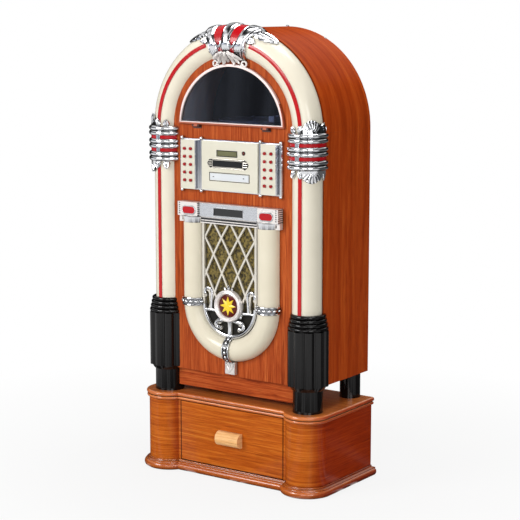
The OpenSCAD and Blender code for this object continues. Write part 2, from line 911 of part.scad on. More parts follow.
module window_hinges() color(black) at_panel() both_sides() {
    span([hinge_x - hinge_w, -2, hinge_z - hinge_h], [hinge_x + hinge_w, 0, hinge_z]);
    for (s = [-1, 1]) {
        translate([hinge_x + s * 9.4, hinge_y, hinge_z]) rotate([0, 90, 0])
            cylinder(r = knuckle_r, h = 6, center = true);
        translate([hinge_x + s * 9.4, 0, 0])
            span([-3, hinge_y, hinge_z - knuckle_r], [3, -eps, hinge_z]);
    }
    translate([hinge_x, hinge_y, hinge_z]) rotate([0, 90, 0])
        cylinder(r = pin_r, h = 20, center = true);
}

// Control panel

module tray_hole(grow)
    rect(-tray_w / 2 - grow, tray_w / 2 + grow, tray_z - tray_h / 2 - grow,
        tray_z + tray_h / 2 + grow);

module control_frame() color(chrome) at_panel() {
    front_plate(plate_y, ctrl_t) difference() {
        rect(-rod_x - rod_r, rod_x + rod_r, ctrl_z, ctrl_z + ctrl_h);
        tray_hole(3);
    }
    both_sides() for (x = [inner_rod_x, rod_x])
        translate([x, plate_y - rod_r / 2, 0]) {
            translate([0, 0, ctrl_z]) cylinder(r = rod_r, h = ctrl_h);
            for (z = [ctrl_z - 2, ctrl_z + ctrl_h + 2])
                translate([0, 0, z]) sphere(r = ball_r);
        }
}

module lcd_outline(grow)
    rect(lcd_x - lcd_w / 2 - grow, lcd_x + lcd_w / 2 + grow, lcd_z - lcd_h / 2 - grow,
        lcd_z + lcd_h / 2 + grow);

module control_fascia() color(cream) at_panel()
    front_plate(fascia_y, fascia_t) difference() {
        rect(-fascia_x, fascia_x, box_z, box_z + box_h);
        lcd_outline(0);
        tray_hole(0);
        translate([eye_x, lcd_z + 4]) circle(r = eye_r);
    }

module display_lens() color("#6b6b4e") at_panel() {
    front_plate(fascia_y + 0.8, fascia_t - 0.8) lcd_outline(-seat_gap / 2);
    front_plate(fascia_y + 0.3, fascia_t - 0.3)
        translate([eye_x, lcd_z + 4]) circle(r = eye_r - seat_gap / 2);
}

module button_boxes() color(cream) at_panel() difference() {
    both_sides() difference() {
        span([box_x - box_w / 2, box_y, box_z], [box_x + box_w / 2, plate_y, box_z + box_h]);
        span([box_x - box_w / 2 + box_wall, box_y + box_wall, box_z + box_wall],
            [box_x + box_w / 2 - box_wall, plate_y + eps, box_z + box_h - box_wall]);
    }
    for (i = [1:20])
        translate([button_x(i), box_y - eps, button_z(i)]) rotate([-90, 0, 0])
            cylinder(r = button_r + run_fit, h = box_wall + 2 * eps, $fn = 48);
}

// A button: a domed cap through the box front, a flange behind it and a stem.
module button(i) color(red) at_panel()
    translate([button_x(i), box_y, button_z(i)]) rotate([-90, 0, 0]) {
        flange_y = box_wall + seat_gap;
        dome = 1.2;
        rotate_extrude($fn = 48) {
            translate([0, -button_out]) square([button_r - dome, dome]);
            translate([0, dome - button_out])
                square([button_r, flange_y + button_out - dome]);
            intersection() {
                translate([button_r - dome, dome - button_out]) circle(r = dome);
                translate([button_r - dome, -button_out]) square([dome, dome]);
            }
            translate([0, flange_y]) square([button_r + 1.5, 1.5]);
            translate([0, flange_y + 1.5]) square([2.2, 4]);
        }
    }

module switch_boards() color("#2f6b3a") at_panel() both_sides() {
    board_y = box_y + box_wall + seat_gap + 5.5 + button_travel + 0.5;
    front_plate(board_y, 1.6)
        rect(box_x - box_w / 2 + box_wall + 2, box_x + box_w / 2 - box_wall - 2,
            box_z + box_wall + 2, box_z + box_h - box_wall - 2);
    for (z = [box_z + 12, box_z + box_h - 12])
        translate([box_x, board_y + 1.6 - eps, z]) rotate([-90, 0, 0])
            cylinder(r = 3, h = plate_y - board_y - 1.6 + eps);
}

// Disc tray

module disc_tray() color("#f2f3f3") at_panel() {
    face = tray_w / 2 - seat_gap;
    plate_z = tray_z - tray_t / 2 - 2;
    span([-face, fascia_y - 1, tray_z - tray_h / 2 + seat_gap],
        [face, fascia_y + 4, tray_z + tray_h / 2 - seat_gap]);
    difference() {
        span([-disc_r - 4, fascia_y + 3, plate_z], [disc_r + 4, tray_in, plate_z + tray_t]);
        translate([0, disc_y, plate_z + tray_t - 3]) cylinder(r = disc_r, h = 3 + eps);
        translate([0, disc_y, plate_z - eps]) cylinder(r = 18, h = tray_t + 2 * eps);
        span([-14, disc_y, plate_z - eps], [14, disc_y + disc_r - 10, plate_z + tray_t + eps]);
    }
}

module disc_loader() color("#8d9094") at_panel() {
    y1 = tray_in + 8;
    x1 = tray_w / 2 + 3;
    z0 = tray_z - tray_h / 2 - 3;
    z1 = tray_z + tray_h / 2 + 3;
    difference() {
        span([-x1 - loader_wall, panel_t, z0 - loader_wall],
            [x1 + loader_wall, y1, z1 + loader_wall]);
        span([-x1, panel_t - eps, z0], [x1, y1 - loader_wall, z1]);
    }
    both_sides()
        span([disc_r - 4, panel_t, z0 - loader_wall / 2],
            [disc_r + 3, y1 - loader_wall, tray_z - tray_t / 2 - 2 - seat_gap]);
}

// Header

module header_bar() color(chrome) at_panel() {
    difference() {
        front_plate(-bar_out, bar_out) rect(-block_x, block_x, rail_top, head_z);
        front_plate(-bar_out - eps, 4) translate([0, lamp_z])
            rect(-slot_w / 2, slot_w / 2, -slot_h / 2, slot_h / 2);
    }
    both_sides() difference() {
        front_plate(-block_out, block_out) rect(block_x, head_x, rail_top, head_z);
        front_plate(-block_out - eps, 4 + eps) translate([lamp_x, lamp_z])
            lozenge(lamp_w, lamp_h);
        for (z = [rail_top + 5:6:head_z - 4])
            translate([head_x - 9, -block_out - eps, z]) cube([5, 3, 3]);
    }
    difference() {
        front_plate(-rail_out, rail_out) rect(-head_x, head_x, head_bottom, rail_top);
        for (z = [head_bottom + 4, head_bottom + 11])
            translate([-block_x + 6, -rail_out - eps, z]) cube([2 * block_x - 12, 4, 3]);
        both_sides() for (i = [0:2])
            translate([block_x + 12 + i * 18, -rail_out - eps, head_bottom + 4])
                cube([12, 4, 9]);
    }
}

// Speaker front

module u_section(r_in, r_out) intersection() {
    difference() {
        circle(r = r_out);
        circle(r = r_in);
    }
    translate([-r_out, -r_out]) square([2 * r_out, r_out]);
}

module u_tube() color(cream) at_panel() {
    translate([0, 0, u_z]) rotate([90, 0, 0]) rotate([0, 0, 180])
        rotate_extrude(angle = 180, $fn = 180) mirror([0, 1]) translate([u_ring, 0])
            u_section(u_r - u_wall, u_r);
    both_sides()
        translate([u_ring, 0, u_z]) linear_extrude(head_bottom - u_z)
            u_section(u_r - u_wall, u_r);
}

module u_bands() color(chrome) at_panel() both_sides()
    translate([u_ring, 0, u_z - band_h / 2 + 2]) intersection() {
        linear_extrude(band_h) u_section(u_r + seat_gap, u_r + seat_gap + band_t);
        union() {
            span([-2 * u_r, -2 * u_r, -eps], [2 * u_r, -rim_d - 1, band_h + eps]);
            span([0, -2 * u_r, -eps], [2 * u_r, -seat_gap, band_h + eps]);
        }
    }

// The area inside the U tube's bend, r wide on each side.
module grille_shape(r) {
    translate([0, u_z]) circle(r = r);
    rect(-r, r, u_z, head_bottom);
}

// Two families of slanting strips, each a little bent.
module lattice() {
    lean = atan(diamond_w / diamond_h);
    step = diamond_w * cos(lean);
    rows = 5;
    for (s = [-1, 1], i = [-rows:rows])
        translate([0, head_bottom - diamond_drop]) rotate(s * lean)
            translate([i * step - s * strip_bend, 0]) difference() {
                circle(r = strip_bend + strip_w / 2, $fn = 720);
                circle(r = strip_bend - strip_w / 2, $fn = 720);
            }
}

// An open ring that ends in two balls.
module scroll(r, w, from, to) {
    part = (to - from) / 4;
    intersection() {
        difference() {
            circle(r = r);
            circle(r = r - w);
        }
        polygon([[0, 0], for (i = [0:4]) 2 * r * [cos(from + i * part), sin(from + i * part)]]);
    }
    for (a = [from, to])
        rotate(a) translate([r - w * 0.6, 0]) circle(r = w * 0.85);
}

// The curls, cross bars and uprights round the medallion, and the stem below it.
module scrolls() {
    thin = strip_w * 0.8;
    for (s = [0, 1]) mirror([s, 0]) {
        translate([curl_x, u_z - curl_drop]) {
            scroll(curl_r, curl_w, -115, 95);
            translate([0, curl_r - curl_w * 0.6]) rotate(160)
                rect(-curl_w / 4, curl_drop / 2, -curl_w * 0.4, curl_w * 0.4);
        }
        translate([rim_r - rim_w / 2 - curl_w, u_z + bar_drop])
            scroll(hook_r, thin, 72, 166);
        translate([rim_r - rim_w, u_z + hook_r]) circle(r = curl_w * 0.85);
        translate([curl_x, u_z - bar_drop - curl_w]) circle(r = curl_w * 0.85);
        rect(medal_r - medal_rim, rim_r - rim_w / 2, u_z - bar_drop - thin / 2,
            u_z - bar_drop + thin / 2);
        translate([upright_x, u_z - bar_drop]) rotate(-upright_lean)
            rect(-thin / 2, thin / 2, 0, medal_r + bar_drop);
    }
    rect(-strip_w, strip_w, u_z - rim_r + 2, u_z - medal_r + 4);
}

module grille() color(chrome) at_panel() {
    front_plate(-rim_d, rim_d) difference() {
        grille_shape(rim_r);
        grille_shape(rim_r - rim_w);
    }
    front_plate(-strip_out, strip_t) intersection() {
        grille_shape(rim_r - rim_w / 2);
        union() {
            intersection() {
                lattice();
                rect(-u_ring, u_ring, u_z - bar_drop, head_bottom);
            }
            scrolls();
            translate([0, u_z]) difference() {
                circle(r = medal_r - 2);
                circle(r = medal_r - medal_rim);
            }
        }
    }
    strap();
}

// The strap from the grille's foot over the U tube to the block below it.
module strap() {
    strap_in = u_r + 2 * seat_gap;
    strap_r = strap_in + band_t;
    block_top = u_z - u_ring - u_r - seat_gap;
    translate([-strap_w / 2, 0, u_z - u_ring]) rotate([90, 0, 90]) linear_extrude(strap_w)
        intersection() {
            difference() {
                circle(r = strap_r);
                circle(r = strap_in);
            }
            translate([-strap_r, -strap_r]) square([strap_r, 2 * strap_r]);
        }
    front_plate(-12, 12)
        rect(-block_tail_w / 2, block_tail_w / 2, block_top - block_tail_h - 3, block_top);
}

module medallion() color("#e9c33a") at_panel() {
    back = -strip_out;
    translate([0, back, u_z]) rotate([90, 0, 0]) {
        cylinder(r = medal_r - medal_rim + 1, h = medal_d - 8);
        rotate_extrude() {
            translate([medal_r - medal_rim, 0]) square([medal_rim, medal_d - medal_rim / 2]);
            translate([medal_r - medal_rim / 2, medal_d - medal_rim / 2])
                circle(r = medal_rim / 2);
        }
        translate([0, 0, medal_d - 8 - eps]) linear_extrude(3 + eps) polygon(
            [for (i = [0:2 * star_n - 1]) (i % 2 == 0 ? star_r : star_in)
                * [sin(i * 180 / star_n), cos(i * 180 / star_n)]]);
    }
}

module speaker_cloth() color("#4a4023") at_panel()
    front_plate(-cloth_t, cloth_t) grille_shape(cloth_r);

module speaker_driver() color(black) at_panel()
    translate([0, panel_t, speaker_z]) rotate([-90, 0, 0]) rotate_extrude() {
        flange_t = 5;
        cone_r = magnet_r / 2;
        difference() {
            union() {
                square([speaker_r + flange_w, flange_t]);
                polygon([[0, flange_t - eps], [speaker_r - 2, flange_t - eps],
                    [magnet_r - 4, basket_d], [0, basket_d]]);
                translate([0, basket_d - eps]) square([magnet_r, magnet_t]);
            }
            polygon([[0, -eps], [speaker_r - 6, -eps], [speaker_r - 6, flange_t - 2],
                [cone_r, basket_d - 12], [0, basket_d - 16]]);
        }
    }

// Turntable

module turntable_deck() color("#2a2724") at_panel() {
    difference() {
        union() {
            span([-cab_in, seat_y, deck_top - deck_t], [cab_in, back_y, deck_top]);
            span([-room_x, panel_t, deck_top - deck_t], [room_x, seat_y + eps, deck_top]);
            translate([arm_x, arm_y, deck_top - eps])
                cylinder(r = 16, h = pivot_z - deck_top + eps - seat_gap);
            translate([arm_x, arm_y - arm_len * 0.6, deck_top - eps])
                cylinder(r = 5, h = arm_z - arm_r - seat_gap - deck_top + eps);
        }
        translate([platter_x, platter_y, deck_top - deck_t - eps])
            cylinder(r = 12, h = deck_t + 2 * eps);
        translate([arm_x, arm_y, deck_top - deck_t + 2])
            cylinder(r = arm_pin_r + run_fit, h = pivot_z);
    }
}

module platter() color("#3a3a3c") at_panel() translate([platter_x, platter_y, 0]) {
    translate([0, 0, platter_z]) rotate_extrude() difference() {
        square([platter_r, platter_h]);
        translate([26, -eps]) square([platter_r - 34, platter_h - 6 + eps]);
        translate([0, platter_h - 2]) square([platter_r - 6, 2 + eps]);
    }
    translate([0, 0, deck_top + 2 + seat_gap]) cylinder(r = 9, h = 4);
    translate([0, 0, deck_top - deck_t - motor_h + 6])
        cylinder(r = spindle_r, h = platter_z + platter_h + 10 - deck_top + deck_t + motor_h - 6);
}

module motor_unit() color("#6f7276") at_panel() translate([platter_x, platter_y, 0])
    difference() {
        union() {
            translate([0, 0, deck_top - deck_t - motor_h]) cylinder(r = motor_r, h = motor_h);
            translate([0, 0, deck_top - deck_t - 5]) cylinder(r = motor_r + 10, h = 5);
            translate([0, 0, deck_top - deck_t - eps])
                cylinder(r = 12 - seat_gap, h = deck_t + 2 + eps);
        }
        translate([0, 0, deck_top - deck_t - motor_h + 4])
            cylinder(r = spindle_r + run_fit, h = motor_h + deck_t);
    }

module tonearm() color(chrome) at_panel() translate([arm_x, arm_y, 0]) {
    shaft_z = deck_top - deck_t + 4;
    shell_y = -arm_len - shell_len / 3;
    translate([0, 0, shaft_z]) cylinder(r = arm_pin_r, h = pivot_z - shaft_z + eps);
    translate([0, 0, pivot_z]) cylinder(r = pivot_r, h = arm_z - pivot_z + arm_r + 2);
    translate([0, weight_y, arm_z]) rotate([90, 0, 0])
        cylinder(r = arm_r, h = arm_len + weight_y - shell_len / 2);
    translate([0, weight_y + 2, arm_z]) rotate([90, 0, 0]) cylinder(r = weight_r, h = weight_len);
    span([-shell_w / 2, shell_y, platter_z + platter_h + 3],
        [shell_w / 2, shell_y + shell_len, arm_z + 3]);
}

// Amplifier and inlet

module inlet_outline(grow) translate([inlet_x, floor_top + inlet_up])
    rect(-inlet_w / 2 - grow, inlet_w / 2 + grow, -inlet_h / 2 - grow, inlet_h / 2 + grow);

module amplifier() color("#8d9094") at_panel() {
    pitch = amp_w / 20;
    margin = amp_d / 10;
    difference() {
        union() {
            span([-amp_w / 2, back_y - amp_d, floor_top], [amp_w / 2, back_y, floor_top + amp_h]);
            front_plate(back_y - eps, back_t + eps) inlet_outline(0);
        }
        front_plate(cab_d - inlet_d, inlet_d + eps) inlet_outline(-3);
        for (i = [-8:8])
            translate([(i - 0.25) * pitch, back_y - amp_d + margin, floor_top + amp_h - margin])
                cube([pitch / 2, amp_d - 2 * margin, margin + eps]);
    }
}

base_skirt();
base_carcass();
base_top();
drawer_front();
drawer_box();
drawer_pull();
posts();
front_collars();
cabinet_carcass();
back_panel();
front_panel();
kick_rail();
column_tubes();
arch_tube();
red_stripes();
side_clasps();
crown();
lamp_lenses();
window_frame();
window_pane();
window_hinges();
control_frame();
control_fascia();
button_boxes();
switch_boards();
display_lens();
disc_tray();
disc_loader();
header_bar();
u_tube();
u_bands();
grille();
medallion();
speaker_cloth();
speaker_driver();
turntable_deck();
platter();
motor_unit();
tonearm();
amplifier();
for (i = [1:20])
    button(i);
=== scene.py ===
# %% [markdown]
# # A jukebox record player on its drawer base
# The CAD frame gives every solid its size and place. This lesson dresses it: lacquered wood,
# cream and red plastic, bright plated castings and a smoked window, under plain studio light.

# %% Load the frame
import math
import bpy
import bmesh
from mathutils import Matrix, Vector


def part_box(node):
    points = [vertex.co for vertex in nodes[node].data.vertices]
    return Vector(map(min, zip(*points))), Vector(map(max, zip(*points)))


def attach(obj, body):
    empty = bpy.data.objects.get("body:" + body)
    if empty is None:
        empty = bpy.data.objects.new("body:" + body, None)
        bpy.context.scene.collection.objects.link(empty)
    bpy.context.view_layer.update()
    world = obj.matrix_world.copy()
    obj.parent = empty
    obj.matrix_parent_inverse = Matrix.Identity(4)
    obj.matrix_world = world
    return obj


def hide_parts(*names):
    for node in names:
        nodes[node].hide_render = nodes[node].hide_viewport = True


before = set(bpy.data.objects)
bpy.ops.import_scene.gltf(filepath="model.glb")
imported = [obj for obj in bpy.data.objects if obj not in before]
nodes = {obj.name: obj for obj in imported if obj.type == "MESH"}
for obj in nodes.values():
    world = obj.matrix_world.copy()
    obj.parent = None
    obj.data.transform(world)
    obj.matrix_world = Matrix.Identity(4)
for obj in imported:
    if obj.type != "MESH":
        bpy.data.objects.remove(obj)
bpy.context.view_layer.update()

# %% [markdown]
# ## The maker's frame
# All sizes below are millimetres, measured as on the bench: x from the middle, y from the face
# of the front panel (minus is towards you) and z from the floor. The cells could work in
# Blender's metres; with one function that turns a bench point into metres, they can speak in
# the sizes of the real object instead.

# %% The bench frame
MM = 0.001
PANEL = -113.0
ARCH_Z, ARCH_R = 1018.0, 242.0
TUBE_SET, TUBE_R = 22.0, 42.0


def at(x, y, z):
    """A bench point in millimetres as a point of the part's frame in metres."""
    return Vector((x, y + PANEL, z)) * MM


def on_arch(angle, turn, r):
    """A point r from the arch tube's axis: turn 0 is outwards, 90 is to the front."""
    a, t = math.radians(angle), math.radians(turn)
    reach = ARCH_R + r * math.cos(t)
    return at(reach * math.cos(a), TUBE_SET - r * math.sin(t), ARCH_Z + reach * math.sin(a))


def on_column(side, z, turn, r):
    """The same for the straight columns, side 1 on the right and -1 on the left."""
    t = math.radians(turn)
    return at(side * (ARCH_R + r * math.cos(t)), TUBE_SET - r * math.sin(t), z)


print("top of the arch tube:", [round(c, 3) for c in on_arch(90, 0, TUBE_R)])

# %% [markdown]
# ## Tools for colour and nodes
# Finishes, floor and world are trees of nodes. They could be clicked together by hand; a script
# that adds each node with its settings and links keeps every number in sight. Colours are
# written in sRGB hex, as on a paint card, and one function turns them linear.

# %% Colours and nodes
PREFIX = {"ShaderNodeTree": "ShaderNode", "GeometryNodeTree": "GeometryNode"}
MIX_A, MIX_B, VECTOR_A, VECTOR_B = 6, 7, 4, 5  # a Mix node's inputs for colours and vectors
BLEND, TIMES, PLUS = ({"data_type": "RGBA", "blend_type": way}
                      for way in ("MIX", "MULTIPLY", "ADD"))
WHITE = (1.0, 1.0, 1.0, 1.0)


def hex_rgb(code):
    """An sRGB hex colour as linear RGBA."""
    out = []
    for i in (0, 2, 4):
        c = int(code[i:i + 2], 16) / 255
        out.append(c / 12.92 if c <= 0.04045 else ((c + 0.055) / 1.055) ** 2.4)
    return (*out, 1.0)


def fill(tree, node, inputs):
    """Fill a node's inputs with values, with sockets, or with another node's output in use."""
    for key, value in inputs.items():
        if isinstance(value, bpy.types.Node):
            value = next(socket for socket in value.outputs if socket.enabled)
        if isinstance(value, bpy.types.NodeSocket):
            tree.links.new(value, node.inputs[key])
        else:
            node.inputs[key].default_value = value
    return node


def add(tree, kind, inputs=(), stops=(), **settings):
    """Add a node, set it up and fill its inputs: in order, or from a dict by name or number.

    stops are the places of a colour ramp, each with a grey level or a hex code.
    """
    shared = kind.startswith("NodeGroup")
    node = tree.nodes.new(kind if shared else PREFIX[tree.bl_idname] + kind)
    for key, value in settings.items():
        setattr(node, key, value)
    if stops:
        spots = node.color_ramp.elements
        for spot, tone in stops:
            grey = (tone, tone, tone, 1.0)
            spots.new(spot).color = hex_rgb(tone) if isinstance(tone, str) else grey
        spots.remove(spots[0])
        spots.remove(spots[-1])
    return fill(tree, node, inputs if isinstance(inputs, dict) else dict(enumerate(inputs)))


def blank_tree(owner):
    """The emptied node tree of a material or a world."""
    owner.use_nodes = True
    owner.node_tree.nodes.clear()
    return owner.node_tree


print("mid grey in linear light:", round(hex_rgb("808080")[0], 3))

# %% [markdown]
# ## Camera
# The camera stands where the photographer stood: 35 degrees to the right, a little above the
# middle, with a long lens. It could be placed by eye; these numbers were fitted to corners and
# rings of the real object, so that the picture and the sizes agree.

# %% Camera
scene = bpy.context.scene
scene.view_settings.view_transform = "Standard"
EYE = Vector((2606.98, -3686.51, 1369.10)) * MM
TARGET = Vector((0.0, 25.6, 627.91)) * MM
LENS, SENSOR = 108.87, 36.0


def look(place, target):
    """The turn that points a camera or a lamp from a place to a target."""
    return (Vector(target) - Vector(place)).to_track_quat("-Z", "Y").to_euler()


camera = bpy.data.objects.new("camera", bpy.data.cameras.new("camera"))
camera.data.lens, camera.data.sensor_width = LENS, SENSOR
camera.location = EYE
camera.rotation_euler = look(EYE, TARGET)
scene.collection.objects.link(camera)
scene.camera = camera
print("camera", round((TARGET - EYE).length, 3), "m away, lens", LENS)

# %% [markdown]
# ## Floor
# The floor is white paper to the camera, with a faint veil of grey near the object, and plain
# matte paper to the light. Plating and the smoked pane mirror what stands round them, and a bare
# white room would leave both flat. Screens could be built for them; painting them on the floor
# for mirrored rays alone is lighter and changes no other light. There are bands by distance, a
# sweep from dark to light on the far floor for the window, strips near the foot, and less light
# behind.

# %% Distances on the floor
MIRROR_REACH = 16.0  # metres; the bands below are shares of it
# White paper: matte, and too plain to draw the eye.
paper = bpy.data.materials.new("white paper floor")
tree = blank_tree(paper)
ray = add(tree, "LightPath").outputs
spot = add(tree, "TexCoord").outputs["Object"]
floor_at = add(tree, "SeparateXYZ", (spot,)).outputs
away = add(tree, "VectorMath", (spot,), operation="LENGTH")
far = add(tree, "Math", (away, MIRROR_REACH), operation="DIVIDE")
print("mirrored bands reach", MIRROR_REACH, "m")

# %% Bands, and the sweep for the window
MIRROR_BANDS = ((0.0, 0.03), (0.06, 0.05), (0.12, 1.0), (0.42, 1.0), (0.56, 0.4),
                (0.72, "8088A0"), (0.84, "E8F0FF"))
FAR_FLOOR = (0.72, 0.84)
SWEEP = (0.735, 0.785, 0.36, 1.3)  # slant x / y from and to, dark side and light side
STREAKS, STREAK_LEVELS = 38.0, (0.35, 0.65, 0.6, 1.4)
slant = add(tree, "Math", (floor_at["X"], floor_at["Y"]), operation="DIVIDE")
streaks = add(tree, "TexNoise", {"W": slant, "Scale": STREAKS, "Detail": 2.0},
              noise_dimensions="1D")
sweep = add(tree, "Math", (add(tree, "MapRange", (slant, *SWEEP)),
                           add(tree, "MapRange", (streaks, *STREAK_LEVELS))), operation="MULTIPLY")
distant = add(tree, "MapRange", (far, *FAR_FLOOR, 1.0, sweep))
bands = add(tree, "ValToRGB", (far,), stops=MIRROR_BANDS)
banded = add(tree, "Mix", {0: 1.0, MIX_A: bands, MIX_B: distant}, **TIMES)
print("stops of the mirrored bands:", len(MIRROR_BANDS))

# %% Strips near the foot, less light behind
STRIPS, STRIP_EDGES = 4.5, (0.52, 0.64)
NEAR_FLOOR = (0.06, 0.12, 1.0, 0.0)
BEHIND = (-0.2, 0.5, 1.0, 0.12)  # y from and to in metres, level in front and behind
forwards = add(tree, "Math", (floor_at["Y"], -1.0), operation="MULTIPLY")
bearing = add(tree, "Math", (floor_at["X"], forwards), operation="ARCTAN2")
spokes = add(tree, "TexNoise", {"W": bearing, "Scale": STRIPS, "Detail": 1.0},
             noise_dimensions="1D")
strips = add(tree, "Math", (add(tree, "MapRange", (spokes, *STRIP_EDGES)),
                            add(tree, "MapRange", (far, *NEAR_FLOOR))), operation="MULTIPLY")
striped = add(tree, "Mix", {0: 1.0, MIX_A: banded, MIX_B: strips}, **PLUS)
behind = add(tree, "MapRange", (floor_at["Y"], *BEHIND))
mirrored = add(tree, "Mix", {0: 1.0, MIX_A: striped, MIX_B: behind}, **TIMES)
print("floor nodes:", len(tree.nodes))

# %% The floor itself
FLOOR_SIZE, FLOOR_GREY = 160.0, "C8C8C6"
VEIL = (0.55, 1.5, 0.86, 1.0)  # metres from and to, level near and far
veil = add(tree, "MapRange", (away, *VEIL))
seen = add(tree, "Math", (ray["Is Camera Ray"], veil), operation="MULTIPLY")
shown = add(tree, "Mix", {0: ray["Is Glossy Ray"], MIX_A: WHITE, MIX_B: mirrored}, **BLEND)
glow = add(tree, "Emission", {"Color": shown, "Strength": 1.0})
matte = add(tree, "BsdfDiffuse", {"Color": hex_rgb(FLOOR_GREY)})
share = add(tree, "Math", (seen, ray["Is Glossy Ray"]), operation="ADD")
add(tree, "OutputMaterial", {"Surface": add(tree, "MixShader", (share, matte, glow))})

floor_mesh = bpy.data.meshes.new("floor")
h = FLOOR_SIZE / 2
floor_mesh.from_pydata([(-h, -h, 0), (h, -h, 0), (h, h, 0), (-h, h, 0)], [], [(0, 1, 2, 3)])
floor_mesh.materials.append(paper)
floor = bpy.data.objects.new("floor", floor_mesh)
scene.collection.objects.link(floor)
print("floor", FLOOR_SIZE, "m wide")

# %% [markdown]
# ## World and lamps
# Mirrored rays that miss the floor see a room too: a dark band above the floor, a light one over
# it and a ceiling with a dark ring, broken up by large soft patches. A picture of a real room
# could do this; bands by height are enough for small castings. The camera sees white, and the
# object gets an even light. Four soft boxes add the rest, the strongest from the left.

# %% World
AMBIENT = 0.33
PATCHES, PATCH_LEVELS = 2.6, (0.42, 0.6, 0.35, 1.2)
ROOM_BANDS = ((0.0, 0.02), (0.38, 0.02), (0.46, 0.9), (0.72, 1.0), (0.8, 0.04), (0.92, 0.06),
              (0.97, 0.8))
world = bpy.data.worlds.new("studio")
scene.world = world
tree = blank_tree(world)
ray = add(tree, "LightPath").outputs
way = add(tree, "TexCoord").outputs["Generated"]
patches = add(tree, "TexNoise", {"Vector": way, "Scale": PATCHES, "Detail": 1.0})
height = add(tree, "SeparateXYZ", (way,)).outputs["Z"]
room = add(tree, "Background", {"Color": add(tree, "ValToRGB", (height,), stops=ROOM_BANDS),
                                "Strength": add(tree, "MapRange", (patches, *PATCH_LEVELS))})
even, white = (add(tree, "Background", {"Color": WHITE, "Strength": level})
               for level in (AMBIENT, 1.0))
lit = add(tree, "MixShader", (ray["Is Glossy Ray"], even, room))
add(tree, "OutputWorld", {"Surface": add(tree, "MixShader", (ray["Is Camera Ray"], lit, white))})
print("world nodes:", len(tree.nodes))

# %% Lamps
# Name, place, the height it is aimed at, width in metres and watts.
LAMPS = (("key", (-1.9, -3.6, 2.4), 0.7, 1.8, 118), ("fill", (1.4, -3.9, 1.5), 0.6, 1.6, 30),
         ("side", (3.0, -2.6, 1.6), 0.7, 1.4, 40), ("top", (0.2, 0.4, 3.4), 0.6, 1.6, 56))
for name, place, aim, width, power in LAMPS:
    lamp = bpy.data.lights.new(name, "AREA")
    lamp.size, lamp.energy = width, power
    soft_box = bpy.data.objects.new(name, lamp)
    soft_box.location = place
    soft_box.rotation_euler = look(place, (0, 0, aim))
    scene.collection.objects.link(soft_box)
print("lamps:", [lamp[0] for lamp in LAMPS])

# %% [markdown]
# ## Finishes
# Each finish starts from the real stuff: veneer under lacquer, moulded ABS, cast metal with a
# bright plated skin, woven cloth. Images could be wrapped round the pieces; nodes that read
# Object coordinates need none, have a true size in millimetres and stay on a piece that moves.

# %% Making and giving a finish
def new_finish(name):
    """A material with one Principled shader, its tree and the piece's own coordinates."""
    finish = bpy.data.materials.new(name)
    tree = blank_tree(finish)
    shader = add(tree, "BsdfPrincipled")
    add(tree, "OutputMaterial", {"Surface": shader})
    return finish, tree, shader, add(tree, "TexCoord").outputs["Object"]


def lay_over(finish, share, colour, way=BLEND):
    """Mix a colour into the one that a finish already shows."""
    tree, shader = finish.node_tree, finish.node_tree.nodes["Principled BSDF"]
    under = shader.inputs["Base Color"].links[0].from_socket
    mixed = add(tree, "Mix", {0: share, MIX_A: under, MIX_B: colour}, **way)
    fill(tree, shader, {"Base Color": mixed})
    return finish


def paint_hollow_shade(finish, reach, darkest, corner):
    """Paint shade into the hollows, as far as reach from their corners, in millimetres."""
    tree = finish.node_tree
    # Ambient occlusion darkens the colour in the hollows: painted shade.
    hollow = add(tree, "AmbientOcclusion", {"Distance": reach * MM}, samples=8).outputs["AO"]
    return lay_over(finish, 1.0, add(tree, "MapRange", (hollow, *corner, darkest, 1.0)), TIMES)


def dress(finish, *names):
    """Give CAD nodes a finish."""
    for name in names:
        data = nodes[name].data
        data.materials.clear()
        data.materials.append(finish)
    print(finish.name, "on", *names)


print("nodes to dress:", len(nodes))

# %% [markdown]
# ### Veneer and oak under lacquer
# The cabinet is thin veneer and the base is oak, both under clear lacquer: long streaks along the
# grain, fine dark pores, and a smooth coat that takes the highlights. Wave rings could give a
# sawn log's figure; noise that is stretched along the grain looks more like sliced veneer. The
# streaks are 7 mm wide and 240 mm long, or 26 and 460 on the hood. Real pores are finer than the
# 1.6 mm here, which are drawn so coarse that they show.

# %% Wood under lacquer
PORE = (1.6, 34.0)  # across and along the grain
TONE_STOPS = (0.30, 0.46, 0.56, 0.72)
PORE_LEVELS, GLOSS_LEVELS = (0.52, 0.68, 1.0, 0.74), (0.3, 0.7, 0.42, 0.34)
LEVEL_FACE, END_FACE = 0.8, (0.6, 1.0)  # how much of a face's normal points up, or away
SEAM = (0.35, 0.8)  # how open a corner is, from full painted shade to none


def per_metre(axis, across, along):
    """Pattern repeats per metre, short across the grain (the given axis) and long along it."""
    return tuple(1 / (MM * (across if name == axis else along)) for name in "xyz")


